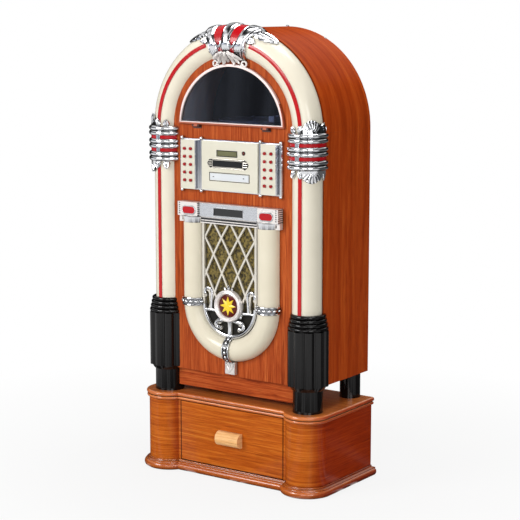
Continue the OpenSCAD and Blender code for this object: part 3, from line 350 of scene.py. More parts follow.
def lacquered_wood(name, across, tones, flat_across=None, coat=0.06, figure=1.2,
                   streak=(7, 240), shine=0.08, ends=None, seams=()):
    """Streaked wood. across is the axis that crosses the grain, flat_across that of level faces.

    ends is a colour of painted shade that deepens the faces to the sides and the back, seams the
    distances over which painted shade darkens the corners, each with its darkest level.
    """
    finish, tree, shader, place = new_finish(name)
    normal = add(tree, "SeparateXYZ", (add(tree, "TexCoord").outputs["Normal"],)).outputs
    maps = []
    for size in (streak, PORE):
        grain = add(tree, "Mapping", {"Vector": place, "Scale": per_metre(across, *size)})
        if flat_across:
            level = add(tree, "Math", (normal["Z"], LEVEL_FACE), operation="GREATER_THAN")
            other = add(tree, "Mapping", {"Vector": place, "Scale": per_metre(flat_across, *size)})
            grain = add(tree, "Mix", {0: level, VECTOR_A: grain, VECTOR_B: other},
                        data_type="VECTOR")
        maps.append(grain)
    streaks = add(tree, "TexNoise", {"Vector": maps[0], "Scale": 1.0, "Detail": 7.0,
                                     "Roughness": 0.62, "Distortion": figure})
    pores = add(tree, "TexNoise", {"Vector": maps[1], "Scale": 1.0, "Detail": 3.0,
                                   "Roughness": 0.5})
    depth = add(tree, "MapRange", (pores, *PORE_LEVELS))
    fill(tree, shader, {
        "Base Color": add(tree, "ValToRGB", (streaks,), stops=zip(TONE_STOPS, tones)),
        "Roughness": add(tree, "MapRange", (streaks, *GLOSS_LEVELS)),
        "Normal": add(tree, "Bump", {"Strength": 0.08, "Distance": 0.4 * MM, "Height": depth}),
        "Specular IOR Level": shine, "Coat Weight": coat, "Coat Roughness": 0.16})
    lay_over(finish, 1.0, depth, TIMES)
    # Painted shade: ends darkens the sides and back, and seams darkens the corners.
    if ends:
        sideways = add(tree, "Math", (normal["X"],), operation="ABSOLUTE")
        turned_away = add(tree, "Math", (sideways, normal["Y"]), operation="MAXIMUM")
        lay_over(finish, add(tree, "MapRange", (turned_away, *END_FACE)), hex_rgb(ends), TIMES)
    for reach, darkest in seams:
        paint_hollow_shade(finish, reach, darkest, SEAM)
    return finish


print("pores per metre, x across the grain:", [round(n) for n in per_metre("x", *PORE)])

# %% Cabinet and base
FRONT_TONES = ("762A0A", "9C4018", "AE5022", "C46832")
BASE_TONES = ("8E3E0A", "AE5212", "BE611A", "CE7828")
# The ends colour D88E70 darkens the base's sides and back: painted shade.
BASE_WOOD = {"flat_across": "y", "ends": "D88E70"}
# Painted shade, reach in mm and darkest level: narrow in the joints, wide in broad corners.
JOINT_SHADE, SHADE = (6, 0.1), (70, 0.85)

# Broad calm streaks along the side, nearly matt, with painted shade in the corners.
dress(lacquered_wood("lacquered veneer, hood", "y", ("8A2E08", "A03A0C", "AC4412", "BC541A"),
                     coat=0.08, streak=(26, 460), figure=0.6, shine=0.02, seams=((9, 0.35),)),
      "cabinet_carcass")
# Lively upright streaks, with painted shade where trim meets the panel.
dress(lacquered_wood("lacquered veneer, front", "x", FRONT_TONES, figure=1.8, seams=((9, 0.3),)),
      "front_panel")
# The same veneer laid crossways.
dress(lacquered_wood("lacquered veneer, rail", "z", FRONT_TONES, figure=2.2), "kick_rail")
# Golden oak, with painted shade on its sides and back and in its joints and corners.
dress(lacquered_wood("lacquered oak, base", "z", BASE_TONES, coat=0.3, shine=0.05,
                     seams=(JOINT_SHADE, SHADE), **BASE_WOOD), "base_carcass")
# The same under a full coat, so that the rounds carry a line of light.
moulding_oak = lacquered_wood("lacquered oak, mouldings", "z", BASE_TONES, coat=1.0, shine=0.3,
                              seams=(JOINT_SHADE, SHADE), **BASE_WOOD)
dress(moulding_oak, "base_skirt")
# Lighter oak, painted lighter on top where light from above falls, with the same painted shade.
dress(lacquered_wood("lacquered oak, top board", "z", ("A85020", "C86A2C", "D87A36", "E89048"),
                     coat=1.0, shine=0.3, seams=(JOINT_SHADE,), **BASE_WOOD), "base_top")
# Pale wood that was never stained.
dress(lacquered_wood("clear lacquered beech", "z", ("D0965A", "E4AE72", "F0BE84", "F6CE9C")),
      "drawer_pull")
# Dry and without gloss.
dress(lacquered_wood("bare birch, drawer box", "z", ("B99564", "CCA976", "D8B888", "E2C79C"),
                     flat_across="x", coat=0.0), "drawer_box")
# Brown-black pressed fibre, as on the back of most cabinets.
dress(lacquered_wood("dark hardboard", "x", ("1E1712", "241C16", "2A211A", "332920"), coat=0.0),
      "back_panel")

# %% [markdown]
# The drawer's front has a dark line round it: painted shade of the gap round the drawer. A groove
# in the solid would do it too; a mix that deepens the last millimetres before each edge needs no
# mesh.

# %% Drawer front
DRAWER_HALF, DRAWER_Z, GAP_SHADE = (183.0, 90.5), 121.5, 3.4
# The base's oak, set off as one board by its dark edge of painted shade.
drawer_oak = lacquered_wood("lacquered oak, drawer", "z", BASE_TONES, coat=0.3, shine=0.05)
tree = drawer_oak.node_tree
from_middle = add(tree, "VectorMath", (add(tree, "TexCoord").outputs["Object"],
                                       (0, 0, DRAWER_Z * MM)), operation="SUBTRACT")
off_middle = add(tree, "VectorMath", (from_middle,), operation="ABSOLUTE")
off = add(tree, "SeparateXYZ", (off_middle,)).outputs
edges = [add(tree, "MapRange", (off[axis], (half - GAP_SHADE) * MM, (half - 1) * MM))
         for axis, half in zip("XZ", DRAWER_HALF)]
# Dark brown over the last millimetres before each edge: painted shade of the gap.
lay_over(drawer_oak, add(tree, "Math", edges, operation="MAXIMUM"), hex_rgb("2A0E04"))
dress(drawer_oak, "drawer_front")

# %% [markdown]
# ### Moulded plastics
# Cream, red and black ABS come out of polished moulds: an even colour with the slightest
# cloudiness, a clear gloss and a faint ripple. One flat colour would look like a drawing; a large
# soft noise makes the cloud, and a finer one the ripple. The red lenses are acrylic, which is
# clearer and brighter.

# %% ABS and acrylic
CLOUD, RIPPLE = 70.0, 14.0


def moulded(name, code, shade, roughness, coat, ripple=0.03):
    """Glossy plastic that wanders between two close tones."""
    finish, tree, shader, place = new_finish(name)
    cloud, waves = (add(tree, "TexNoise", {"Vector": place, "Scale": 1 / (size * MM),
                                           "Detail": detail})
                    for size, detail in ((CLOUD, 2.0), (RIPPLE, 1.0)))
    fill(tree, shader, {
        "Base Color": add(tree, "Mix", {0: cloud, MIX_A: hex_rgb(code), MIX_B: hex_rgb(shade)},
                          **BLEND),
        "Normal": add(tree, "Bump", {"Strength": ripple, "Distance": MM, "Height": waves}),
        "Roughness": roughness, "Specular IOR Level": 0.3, "Coat Weight": coat,
        "Coat Roughness": 0.06})
    return finish


# Warm cream with a soft, wide highlight.
dress(moulded("cream ABS", "E3DCCA", "DAD3C0", 0.28, 0.3), "column_tubes", "arch_tube")
# A cooler cream, as flat panels look beside the tubes.
dress(moulded("cream ABS panel", "D7D3C4", "CECAB8", 0.28, 0.3), "control_fascia", "button_boxes")
# Yellowed a little by the lamps behind it.
dress(moulded("deeper cream ABS", "DCD4C0", "D3CBB5", 0.28, 0.3), "u_tube")
# Clear bright red.
dress(moulded("red acrylic", "BA0C14", "A80A12", 0.2, 0.2), "red_stripes")
# Red with depth, as in an unlit lamp.
dress(moulded("red lamp acrylic", "BC0E1A", "9C0812", 0.2, 0.1), "lamp_lenses")
# Darker, opaque red.
dress(moulded("red ABS buttons", "A20810", "88060C", 0.24, 0.2),
      *(f"button_{i:02d}" for i in range(1, 21)))
# Deep black whose flutes show only as highlights.
dress(moulded("black ABS", "0D0B0C", "080707", 0.14, 0.06, ripple=0.05), "posts", "front_collars")
# Cold white against the cream.
dress(moulded("white ABS", "D4D7DA", "CCD0D4", 0.3, 0.2), "disc_tray")
# Olive, like an unlit liquid crystal behind its window.
dress(moulded("display window", "70704F", "5E5E42", 0.18, 0.4), "display_lens")
# Even green under the thin gloss of solder resist.
dress(moulded("green circuit board", "2C6636", "24562E", 0.4, 0.2), "switch_boards")

# %% [markdown]
# ### Bright plating and plain metals
# The crown, clasps, frames and grille are castings with a bright plated skin: nearly a mirror,
# with faint polishing haze, and painted shade in the hollows. A perfect mirror would be simpler,
# but it looks like ice. So the gloss wanders with a noise, and an ambient occlusion node darkens
# the hollows. The inner parts are plainer: stove enamel, zinc plate, turned aluminium.

# %% Metals
HAZE, HOLLOW = 30.0, (0.4, 0.85)
BRUSH = 0.8  # real lines are finer than 0.1 mm; these are drawn so coarse that they show


def metal(name, code, roughness, spread, metallic=1.0, stretch=(1, 1, 1), size=HAZE, bump=0.0):
    """A metal whose gloss wanders by spread; stretch makes brush lines."""
    finish, tree, shader, place = new_finish(name)
    lines = add(tree, "Mapping", {"Vector": place, "Scale": stretch})
    haze = add(tree, "TexNoise", {"Vector": lines, "Scale": 1 / (size * MM), "Detail": 4.0})
    bright = hex_rgb(code)
    dull = (*(c * 0.9 for c in bright[:3]), 1.0)
    fill(tree, shader, {
        "Base Color": add(tree, "Mix", {0: haze, MIX_A: bright, MIX_B: dull}, **BLEND),
        "Roughness": add(tree, "MapRange", (haze, 0.3, 0.7, roughness, roughness + spread)),
        "Metallic": metallic})
    if bump:
        pits = add(tree, "Bump", {"Strength": bump, "Distance": 0.3 * MM, "Height": haze})
        fill(tree, shader, {"Normal": pits})
    return finish


# A clear mirror with a little haze.
chrome = metal("bright chrome plate", "E6E7EA", 0.05, 0.07)
# Fine lines along the bar that spread every highlight upright.
brushed = metal("brushed chrome bar", "DADCE0", 0.2, 0.14, stretch=(0.04, 1, 1), size=BRUSH)
# A mirror again, black with painted shade in its hollows.
cast_chrome = paint_hollow_shade(metal("chrome plated casting", "E6E7EA", 0.07, 0.08), 8, 0.03, HOLLOW)
# A pale soft shine, with painted shade in its hollows.
cast_satin = paint_hollow_shade(metal("satin plated casting", "F0EAE6", 0.24, 0.1, metallic=0.5),
                  6, 0.05, HOLLOW)
# Strips that stay light from all sides, with painted shade in their hollows.
cast_strips = paint_hollow_shade(metal("chrome plated strips", "E2DCD0", 0.14, 0.1, metallic=0.65),
                   5, 0.1, HOLLOW)
# Warm white metal without clear reflections.
satin = metal("satin nickel plate", "F2ECEA", 0.26, 0.1, metallic=0.4)
# Black with a fine orange peel.
enamel = metal("black stove enamel", "161616", 0.32, 0.1, metallic=0.0, size=1.2, bump=0.1)
# Dull blue-grey spangle.
zinc = metal("zinc plated steel", "9A9DA2", 0.34, 0.2, size=9.0)
dress(chrome, "control_frame", "medallion")
dress(cast_chrome, "side_clasps", "crown")
dress(cast_satin, "header_bar")
dress(cast_strips, "grille")
dress(enamel, "speaker_driver")
dress(zinc, "disc_loader", "motor_unit", "amplifier")
# Tarnished plating, against which the beads stand out.
dress(metal("dark plated band", "8E9094", 0.16, 0.1), "u_bands")
# Brown paint that hides the hinges against the wood.
dress(metal("brown lacquered steel", "42190A", 0.4, 0.1, metallic=0.0, size=2.0), "window_hinges")
# Grey with the small dimples of hammer paint.
dress(metal("grey hammer enamel", "86888C", 0.36, 0.12, metallic=0.1, size=2.4, bump=0.2),
      "turntable_deck")
# Fine rings left by the lathe.
dress(metal("turned aluminium", "D2D4D8", 0.26, 0.12, metallic=0.4, stretch=(1, 1, 0.1),
            size=BRUSH), "tonearm")
# Grainy grey casting, its grain coarse enough to show.
dress(metal("cast aluminium platter", "A6A8AC", 0.34, 0.15, metallic=0.3, size=6.0, bump=0.05),
      "platter")

# %% [markdown]
# The window's frame has a satin lip next to the pane. Round its edge the plating mirrors the wood,
# and a shadow lies along its foot: both are painted brown, as painted reflection and painted
# shadow. Two pieces with a finish each would do; here one finish measures how far it is from the
# middle of the half moon, and paints what lies near the round edge and the foot.

# %% Window frame
WINDOW_R, WINDOW_Z, LIP = 183.0, 1029.0, 4.4
# A thin pale line inside a brown one of painted reflection and painted shadow.
lipped = metal("window frame, brown with a satin lip", "ECD8D4", 0.3, 0.1, metallic=0.35)
tree = lipped.node_tree
from_middle = add(tree, "Mapping", {"Vector": add(tree, "TexCoord").outputs["Object"],
                                    "Location": (0, 0, -WINDOW_Z * MM), "Scale": (1, 0, 1)})
reach = add(tree, "VectorMath", (from_middle,), operation="LENGTH")
height = add(tree, "SeparateXYZ", (from_middle,)).outputs["Z"]
round_edge = add(tree, "Math", (reach, (WINDOW_R - LIP) * MM), operation="GREATER_THAN")
foot_edge = add(tree, "Math", (height, LIP * MM), operation="LESS_THAN")
# The brown round the edge and along the foot: painted reflection and painted shadow.
painted = add(tree, "Math", (round_edge, foot_edge), operation="MAXIMUM")
dress(lay_over(lipped, painted, hex_rgb("A85A40")), "window_frame")

# %% [markdown]
# ### The smoked window
# The pane is tinted acrylic, 3 mm thick: dark, clear and very smooth. Black glass would hide the
# turntable. A tinted transmission colour is enough, because light crosses the pane twice on its
# way to the turntable and back.

# %% Smoked acrylic
SMOKE = 90.0
# Blue-grey and clear, with the room mirrored on it.
smoked, tree, shader, place = new_finish("smoked acrylic")
cloud = add(tree, "TexNoise", {"Vector": place, "Scale": 1 / (SMOKE * MM), "Detail": 2.0})
tint = add(tree, "Mix", {0: cloud, MIX_A: hex_rgb("A8B0C8"), MIX_B: hex_rgb("98A0BA")}, **BLEND)
fill(tree, shader, {"Base Color": tint, "Transmission Weight": 1.0, "Roughness": 0.02, "IOR": 1.45})
dress(smoked, "window_pane")

# %% [markdown]
# ### Speaker cloth
# Loudspeaker cloth is a coarse weave of brown and olive yarn with bright flecks. Each thread could
# be a curve, which is far too much for a few pixels. Two crossed wave patterns make the weave; its
# 3 mm step is coarser than the real 1 mm, so that it shows. The foot lies in the dark behind the
# medallion, and painted shade darkens it to match.

# %% Woven cloth
YARN, FLECK, WAVES_PER_UNIT = 3.0, 7.0, 3.18
FOOT_SHADE = (0.49, 0.57, 0.04, 1.0)  # height from and to in metres, level below and above
# Matt, with a bump that glints a little on each knot.
cloth, tree, shader, place = new_finish("woven speaker cloth")
threads = [add(tree, "TexWave", {"Vector": place, "Scale": 1 / (YARN * MM) / WAVES_PER_UNIT,
                                 "Distortion": 1.5, "Detail": 1.0},
               bands_direction=axis).outputs["Fac"] for axis in "XZ"]
weave = add(tree, "Math", threads, operation="MULTIPLY")
flecks = add(tree, "TexNoise", {"Vector": place, "Scale": 1 / (FLECK * MM), "Detail": 4.0})
fill(tree, shader, {
    "Base Color": add(tree, "Mix", {0: add(tree, "MapRange", (flecks, 0.36, 0.62)),
                                    MIX_A: hex_rgb("33290E"), MIX_B: hex_rgb("B8A050")}, **BLEND),
    "Normal": add(tree, "Bump", {"Strength": 0.5, "Distance": MM, "Height": weave}),
    "Roughness": 0.85, "Sheen Weight": 0.05})
lay_over(cloth, 0.75, weave, TIMES)
# Painted shade: the cloth is darker towards its foot.
height = add(tree, "SeparateXYZ", (place,)).outputs["Z"]
dress(lay_over(cloth, 1.0, add(tree, "MapRange", (height, *FOOT_SHADE)), TIMES), "speaker_cloth")
print("finishes in all:", len(bpy.data.materials))

# %% [markdown]
# ## Making meshes
# Cast ornament is made here as closed shells: loops of points joined by quads, so that every
# piece is a solid with its faces outwards. Sculpting would give freer forms, but not the same ones
# on each run. Each function returns points and faces; a piece joins what belongs together and
# rides on its body.

# %% Closed skins
def skin(loops):
    """Closed loops of points, joined by quads."""
    n, faces = len(loops[0]), []
    for i in range(len(loops) - 1):
        for j in range(n):
            k = (j + 1) % n
            faces.append((i * n + j, i * n + k, (i + 1) * n + k, (i + 1) * n + j))
    return [p for loop in loops for p in loop], faces


def capped(loops):
    """A skin with both ends filled."""
    verts, faces = skin(loops)
    n = len(loops[0])
    return verts, faces + [tuple(range(n)), tuple(range(len(verts) - n, len(verts)))]


def together(parts):
    """Several meshes as one."""
    verts, faces = [], []
    for some_verts, some_faces in parts:
        faces += [tuple(i + len(verts) for i in f) for f in some_faces]
        verts += some_verts
    return verts, faces


def relief(point, steps, across):
    """A closed shell. point(t, s) is its top and under point for t from 0 to 1, s from -1 to 1."""
    loops = []
    for i in range(steps + 1):
        pairs = [point(i / steps, -1 + 2 * j / (across - 1)) for j in range(across)]
        loops.append([top for top, under in pairs] + [under for top, under in reversed(pairs)])
    return capped(loops)


square = [at(x, 0, z) for x, z in ((0, 0), (1, 0), (1, 1), (0, 1))]
print("faces of a closed block:", len(capped([square, square])[1]))

# %% Finished pieces
MERGE = 0.01 * MM


def settle(obj, slot, body="cabinet", instead_of=(), sharp=35):
    """Close a piece's seams, turn its faces outwards, smooth it and put it on its body."""
    mesh = obj.data
    work = bmesh.new()
    work.from_mesh(mesh)
    bmesh.ops.remove_doubles(work, verts=work.verts, dist=MERGE)
    bmesh.ops.recalc_face_normals(work, faces=work.faces)
    work.to_mesh(mesh)
    work.free()
    mesh.shade_smooth()
    mesh.set_sharp_from_angle(angle=math.radians(sharp))
    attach(obj, body)
    if instead_of:
        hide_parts(*instead_of)
    print(obj.name, len(mesh.polygons), "faces")


def new_object(name, shape):
    """Points and faces as an object in the scene."""
    mesh = bpy.data.meshes.new(name)
    mesh.from_pydata([tuple(v) for v in shape[0]], [], shape[1])
    obj = bpy.data.objects.new(name, mesh)
    scene.collection.objects.link(obj)
    return obj


def piece(name, shape, finish, slot, **how):
    """Turn points and faces into a finished piece; how goes on to settle."""
    obj = new_object(name, shape)
    obj.data.materials.append(finish)
    settle(obj, slot, **how)
    return obj


print("points closer than", MERGE, "m are merged")

# %% [markdown]
# ## Leaves and shells
# The crown and the clasps end in cast foliage. Each form could be modelled in its place; here it
# is drawn flat first and then laid on the tube or the panel by a second function, so one leaf
# serves everywhere. A leaf swells and comes to a point, with toothed edges and folds that run along
# it like a feather. A shell opens from its foot like a fan, with ribs that end in a scalloped edge.

# %% One leaf, one shell
SUNK = -1.0  # how deep a form's back lies in what carries it
SHELL_SPREAD, SHELL_RIBS, SHELL_RISE = 62, 7, 5.0


def leaf(lay, length, width, teeth, rise, folds, curl=2.0, steps=40):
    """A closed leaf; lay(u, v, h) puts a flat point with its height on the real surface."""
    def point(t, s):
        swell = max(math.sin(math.pi * (0.16 + 0.84 * t)), 0.0) ** 0.7
        tooth = 1 - 0.22 * ((teeth * t) % 1.0)
        half = width / 2 * max(swell, 0.03) * tooth
        fold = 0.55 + 0.45 * (0.5 + 0.5 * math.cos(2 * math.pi * folds * s))
        body = (1 - s * s) ** 0.5 * fold * (0.35 + 0.65 * math.sin(math.pi * t) ** 0.7)
        u, v = t * length, s * half
        return lay(u, v, rise * body + curl * t ** 3), lay(u, v, SUNK)
    return relief(point, steps, 25)


def shell(lay, length):
    """A closed shell form, its foot at the start."""
    def point(i, s):
        t = 0.12 + 0.88 * i
        rib = abs(math.cos(math.pi * SHELL_RIBS * s / 2))
        reach = length * t * (1 - 0.14 * t * (1 - rib)) * (1 - 0.12 * s * s)
        swell = 0.4 + 0.6 * math.sin(math.pi * min(t, 0.92))
        a = math.radians(SHELL_SPREAD * s)
        u, v = reach * math.cos(a), reach * math.sin(a)
        return lay(u, v, SHELL_RISE * (0.25 + 0.75 * rib ** 0.7) * swell), lay(u, v, SUNK)
    return relief(point, 16, 71)


print("points of a flat shell:", len(shell(at, 34)[0]))

# %% [markdown]
# ## Side clasps
# Three double rings grip each column, with red lenses between them and a small bar across each
# lens. The rings are solids of the frame. What is finer is added here: a shell at each end on the
# outer side, leaves to its left and right, and the bars. A Simple Deform modifier could bend flat
# ones round the tube; laid by the tube's own radius, they follow it up into the arch as well.

# %% Shells, leaves and bars of the clasps
CLASP_Z, CLASP_HALF, CLASP_PITCH, CLASP_LAP = 969.0, 51.0, 37.0, 3
SHELL_TURN, SHELL_SEAT, LEAF_SEAT = 42, 47.0, 46.0
CLASP_ENDS = ((1, 34, 24), (-1, 38, 26))  # up or down, length of the shell and of the leaves
CLASP_LEAVES = ((-4, 30), (82, 26), (118, 24))  # turn round the tube, width
LENS_BAR = ((84, 46), (84, 53), (88, 54.5), (94, 54.5), (98, 53), (98, 46))  # turn, radius
LENS_BAR_HALF = 5.5


def on_tube_end(side, up, turn, r, start):
    """Lay a form on a column's tube, from height start upwards (up 1) or downwards (-1)."""
    def lay(u, v, h):
        t = turn + math.degrees(v / r)
        z = start + up * u
        if z > ARCH_Z:
            angle = math.degrees((z - ARCH_Z) / ARCH_R)
            return on_arch(angle if side > 0 else 180 - angle, t, r + h)
        return on_column(side, z, t, r + h)
    return lay


clasp_parts = []
for side in (1, -1):
    for up, shell_length, leaf_length in CLASP_ENDS:
        start = CLASP_Z + up * (CLASP_HALF - CLASP_LAP)
        clasp_parts.append(shell(on_tube_end(side, up, SHELL_TURN, SHELL_SEAT, start),
                                 shell_length))
        for turn, width in CLASP_LEAVES:
            clasp_parts.append(leaf(on_tube_end(side, up, turn, LEAF_SEAT, start), leaf_length,
                                    width, teeth=3, rise=5.0, folds=1.5))
    for lens in (-0.5, 0.5):
        z = CLASP_Z + lens * CLASP_PITCH
        clasp_parts.append(capped([[on_column(side, z + dz, turn, r) for turn, r in LENS_BAR]
                                   for dz in (-LENS_BAR_HALF, LENS_BAR_HALF)]))
piece("clasp_leaves", together(clasp_parts), cast_chrome, "chrome")

# %% [markdown]
# ## Crown
# Three claws reach over the top of the tube. Each is wide and rounded on top, narrows towards the
# front and then spreads until the claws meet, so the red shows between them as two drops. Boxes
# and booleans would leave hard edges; a grid that is swept round the tube gives a cast swell.

# %% Claws
CLAW_PITCH, CLAW_FROM, CLAW_TO = 14.0, -22.0, 150.0
CLAW_WIDE, CLAW_WAIST, CLAW_FLARE = 5.4, 1.8, 1.7  # degrees: half width, less, more again
CLAW_SEAT, CLAW_EDGE, CLAW_RISE = 43.0, 47.0, 8.8
GROOVE, GROOVE_AT, GROOVE_WIDE, GATHER = 2.6, 0.66, 0.08, 2.5


def ease(t):
    """0 to 1 without a kink."""
    t = min(max(t, 0.0), 1.0)
    return t * t * (3 - 2 * t)


def claw_place(k, turn):
    """Middle and half width of claw k along the arch, in degrees, at a turn round the tube."""
    middle = 90 + k * CLAW_PITCH * (1 - 0.3 * ease((turn - 10) / 120))
    waist, flare = CLAW_WAIST * ease(turn / 70), CLAW_FLARE * ease((turn - 78) / 24)
    return middle, CLAW_WIDE - waist + flare


def claw(k):
    """One claw as a closed shell over the tube."""
    def point(t, s):
        turn = CLAW_FROM + (CLAW_TO - CLAW_FROM) * t
        middle, half = claw_place(k, turn)
        dome = CLAW_EDGE + CLAW_RISE * (1 - abs(s) ** 3) ** 0.7
        groove = GROOVE * math.exp(-((abs(s) - GROOVE_AT) / GROOVE_WIDE) ** 2)
        gather = GATHER * ease((turn - 96) / 20) * math.cos(3 * math.pi * s) ** 2
        along = middle + half * s
        return on_arch(along, turn, dome - groove - gather), on_arch(along, turn, CLAW_SEAT)
    return relief(point, 70, 25)


crown_parts = [claw(k) for k in (-1, 0, 1)]
print("claws:", len(crown_parts))

# %% [markdown]
# A bent bar closes each red drop at its lower end. A curve object with a bevel could make it; the
# function here does the same in a few lines, and its bar may change its thickness on the way.

# %% Bars that close the drops
CUSP_TURN, CUSP_SAG, CUSP_R, CUSP_STEPS = 84, 16, 53.5, 16


def turns(sides):
    """Equal turns round a circle, in radians."""
    return [2 * math.pi * k / sides for k in range(sides)]


def bar(path, radius, sides=10, flat=1.0):
    """A round bar along a path, radius in millimetres, one number or one for each point."""
    radii = radius if isinstance(radius, (list, tuple)) else [radius] * len(path)
    loops, side = [], None
    for i, p in enumerate(path):
        along = (path[min(i + 1, len(path) - 1)] - path[max(i - 1, 0)]).normalized()
        if side is None:
            side = along.cross(Vector((0, 1, 0)))
            if side.length < 0.1:
                side = along.cross(Vector((0, 0, 1)))
        side = (side - along * side.dot(along)).normalized()
        other = along.cross(side)
        loops.append([p + (side * math.cos(t) + other * math.sin(t) * flat) * radii[i] * MM
                      for t in turns(sides)])
    return capped(loops)


def cusp(k):
    """A bent bar round the lower end of the red drop beside claw k."""
    left, half_left = claw_place(k, CUSP_TURN)
    right, half_right = claw_place(k + 1, CUSP_TURN)
    a, b = left + half_left * 0.8, right - half_right * 0.8
    swell = [math.sin(math.pi * i / CUSP_STEPS) for i in range(CUSP_STEPS + 1)]
    path = [on_arch(a + (b - a) * i / CUSP_STEPS, CUSP_TURN + CUSP_SAG * s, CUSP_R)
            for i, s in enumerate(swell)]
    return bar(path, [2.6 + 1.2 * s for s in swell])


crown_parts += [cusp(k) for k in (-1, 0)]
print("parts of the crown so far:", len(crown_parts))

# %% [markdown]
# A long leaf and two short ones run out along the tube on each side. They could be drawn anew, but
# the leaf of the clasps serves again, laid along the arch this time.

# %% Leaves along the arch
CROWN_LEAVES = ((16, 15.0, 88, 58, 5, 6.5, 2.5, 1.0, 60), (66, 14.0, 36, 26, 3, 5.0, 1.5),
                (112, 11.5, 24, 26, 3, 4.5, 1.5))  # turn, start, then as leaf takes them
CROWN_SEAT, RUN_R, ROUND_R = 44.0, 48, 47  # seat; radii for lengths along and round the tube


def on_crown_end(side, turn, start):
    """Lay a leaf on the arch tube, away from the crown."""
    def lay(u, v, h):
        angle = start + math.degrees(u / (ARCH_R + RUN_R))
        t = turn + math.degrees(v / ROUND_R)
        return on_arch(90 - side * angle, max(t, CLAW_FROM), CROWN_SEAT + h)
    return lay


for side in (1, -1):
    crown_parts += [leaf(on_crown_end(side, turn, start), *sizes)
                    for turn, start, *sizes in CROWN_LEAVES]
piece("crown_casting", together(crown_parts), cast_chrome, "chrome", instead_of=["crown"])

# %% [markdown]
# Under the claws a fan of small satin leaves comes down to the window, in two layers, with a curl
# at each side. One plate with a bump could stand for them, but single leaves that overlap cast the
# small shadows of a real casting. Their surface leans from the claws back to the window's rim.

# %% Rosette
ROSETTE_TOP, ROSETTE_HALF, ROSETTE_OUT, ROSETTE_IN, ROSETTE_TALL = 1236.0, 9.0, 34, 11, 34
ROSETTE = ((66, 46, 17, 4.0, 4), (42, 44, 17, 5.0, 2), (15, 40, 17, 4.5, 0), (54, 30, 13, 8.0, 0),
           (28, 30, 13, 9.0, 0), (0, 30, 15, 10.0, 0))  # spread, length, width, rise, start
SPIRAL_MID, SPIRAL_STEPS = (50, -8, 1201), 24


def on_rosette(spread, start):
    """Lay a leaf that spreads by some degrees from under the claws to the window's rim."""
    def lay(u, v, h):
        a = math.radians(spread)
        down, aside = u * math.cos(a) - v * math.sin(a), u * math.sin(a) + v * math.cos(a)
        aside += ROSETTE_HALF * math.copysign(1.0, spread) * (spread != 0)
        z = ROSETTE_TOP - start - down
        lean = (ROSETTE_OUT - ROSETTE_IN) * ease((ROSETTE_TOP - z) / ROSETTE_TALL)
        return at(aside, lean - ROSETTE_OUT - h, z)
    return lay


def spiral(side):
    """A curl that winds in from 10 to 4 mm."""
    path = []
    for i in range(SPIRAL_STEPS + 1):
        t = i / SPIRAL_STEPS
        turn, r = math.radians(200 - 400 * t), 10 - 6 * t
        path.append(at(side * (SPIRAL_MID[0] + r * math.cos(turn)), SPIRAL_MID[1],
                       SPIRAL_MID[2] + r * math.sin(turn)))
    return bar(path, [3.4 - 1.0 * i / SPIRAL_STEPS for i in range(SPIRAL_STEPS + 1)])


rosette = [leaf(on_rosette(side * spread, start), length, width, teeth=3, rise=rise, folds=0.5,
                curl=3.0)
           for spread, length, width, rise, start in ROSETTE for side in (1, -1)]
piece("crown_rosette", together(rosette + [spiral(side) for side in (1, -1)]), cast_satin, "chrome")

# %% [markdown]
# ## Medallion
# A round badge hangs in the foot of the grille: a heavy plated ring, a dark red enamel disc and a
# yellow star whose eight points are each folded along the middle. Ring and disc are turned from a
# profile, as on a lathe; the star is few faces, so it is written out.

# %% Ring and disc
MEDAL = (0.0, -12.0, 516.0)
RING = ((33.5, 1), (33.5, 9), (35.5, 12.5), (38, 14), (40, 13.2), (41, 13.8), (43, 15.6),
        (45, 14.5), (46.4, 11), (46.4, 1))
DISC = ((0.5, 2), (0.5, 9.0), (20, 8.6), (31, 7.6), (33.3, 6.5), (33.3, 2))


def ring(loops):
    """A skin whose last loop joins its first."""
    return skin(loops + loops[:1])


def turned_piece(profile, centre, sides):
    """A profile of (radius, distance to the front) turned about a line to the front."""
    return ring([[at(centre[0] + r * math.cos(t), centre[1] - out, centre[2] + r * math.sin(t))
                  for r, out in profile] for t in turns(sides)])


# Deep brown-red glass, a little cloudy.
enamel_red = moulded("dark red enamel", "601A10", "4A1008", 0.25, 0.1)
piece("medallion_ring", turned_piece(RING, MEDAL, 64), satin, "chrome", instead_of=["medallion"])
piece("medallion_disc", turned_piece(DISC, MEDAL, 48), enamel_red, "medallion_enamel")

# %% Star
STAR_OUT, STAR_IN, STAR_POINTS = 27.5, 13.5, 8
STAR_BACK, STAR_EDGE, STAR_TOP = 7.5, 9.6, 13.0  # in front of the medallion's seat
# Strong yellow whose folds catch the light in turn.
star_yellow = moulded("yellow enamel star", "F4D63A", "E8C428", 0.3, 0.15)


def star():
    """A star with a ridge to each point and a fold to each notch, on a flat back."""
    n = 2 * STAR_POINTS
    outline = [(r * math.sin(t), r * math.cos(t))
               for r, t in zip((STAR_OUT, STAR_IN) * STAR_POINTS, turns(n))]
    verts = [at(x, MEDAL[1] - out, MEDAL[2] + z) for out in (STAR_BACK, STAR_EDGE)
             for x, z in outline]
    verts.append(at(0, MEDAL[1] - STAR_TOP, MEDAL[2]))
    faces = [tuple(range(n))]
    for i in range(n):
        k = (i + 1) % n
        faces += [(i, k, n + k, n + i), (n + i, n + k, 2 * n)]
    return verts, faces


piece("medallion_star", star(), star_yellow, "medallion_enamel", sharp=5)

# %% [markdown]
# ## Rows of small parts
# Stripes, fins, beads and screws repeat, so Geometry Nodes places them. An array modifier could do
# the straight rows, but not the ones round a tube. One tree stands copies in a straight row, the
# other on an arc that can be tilted. Their numbers are named inputs, so each serves several pieces.

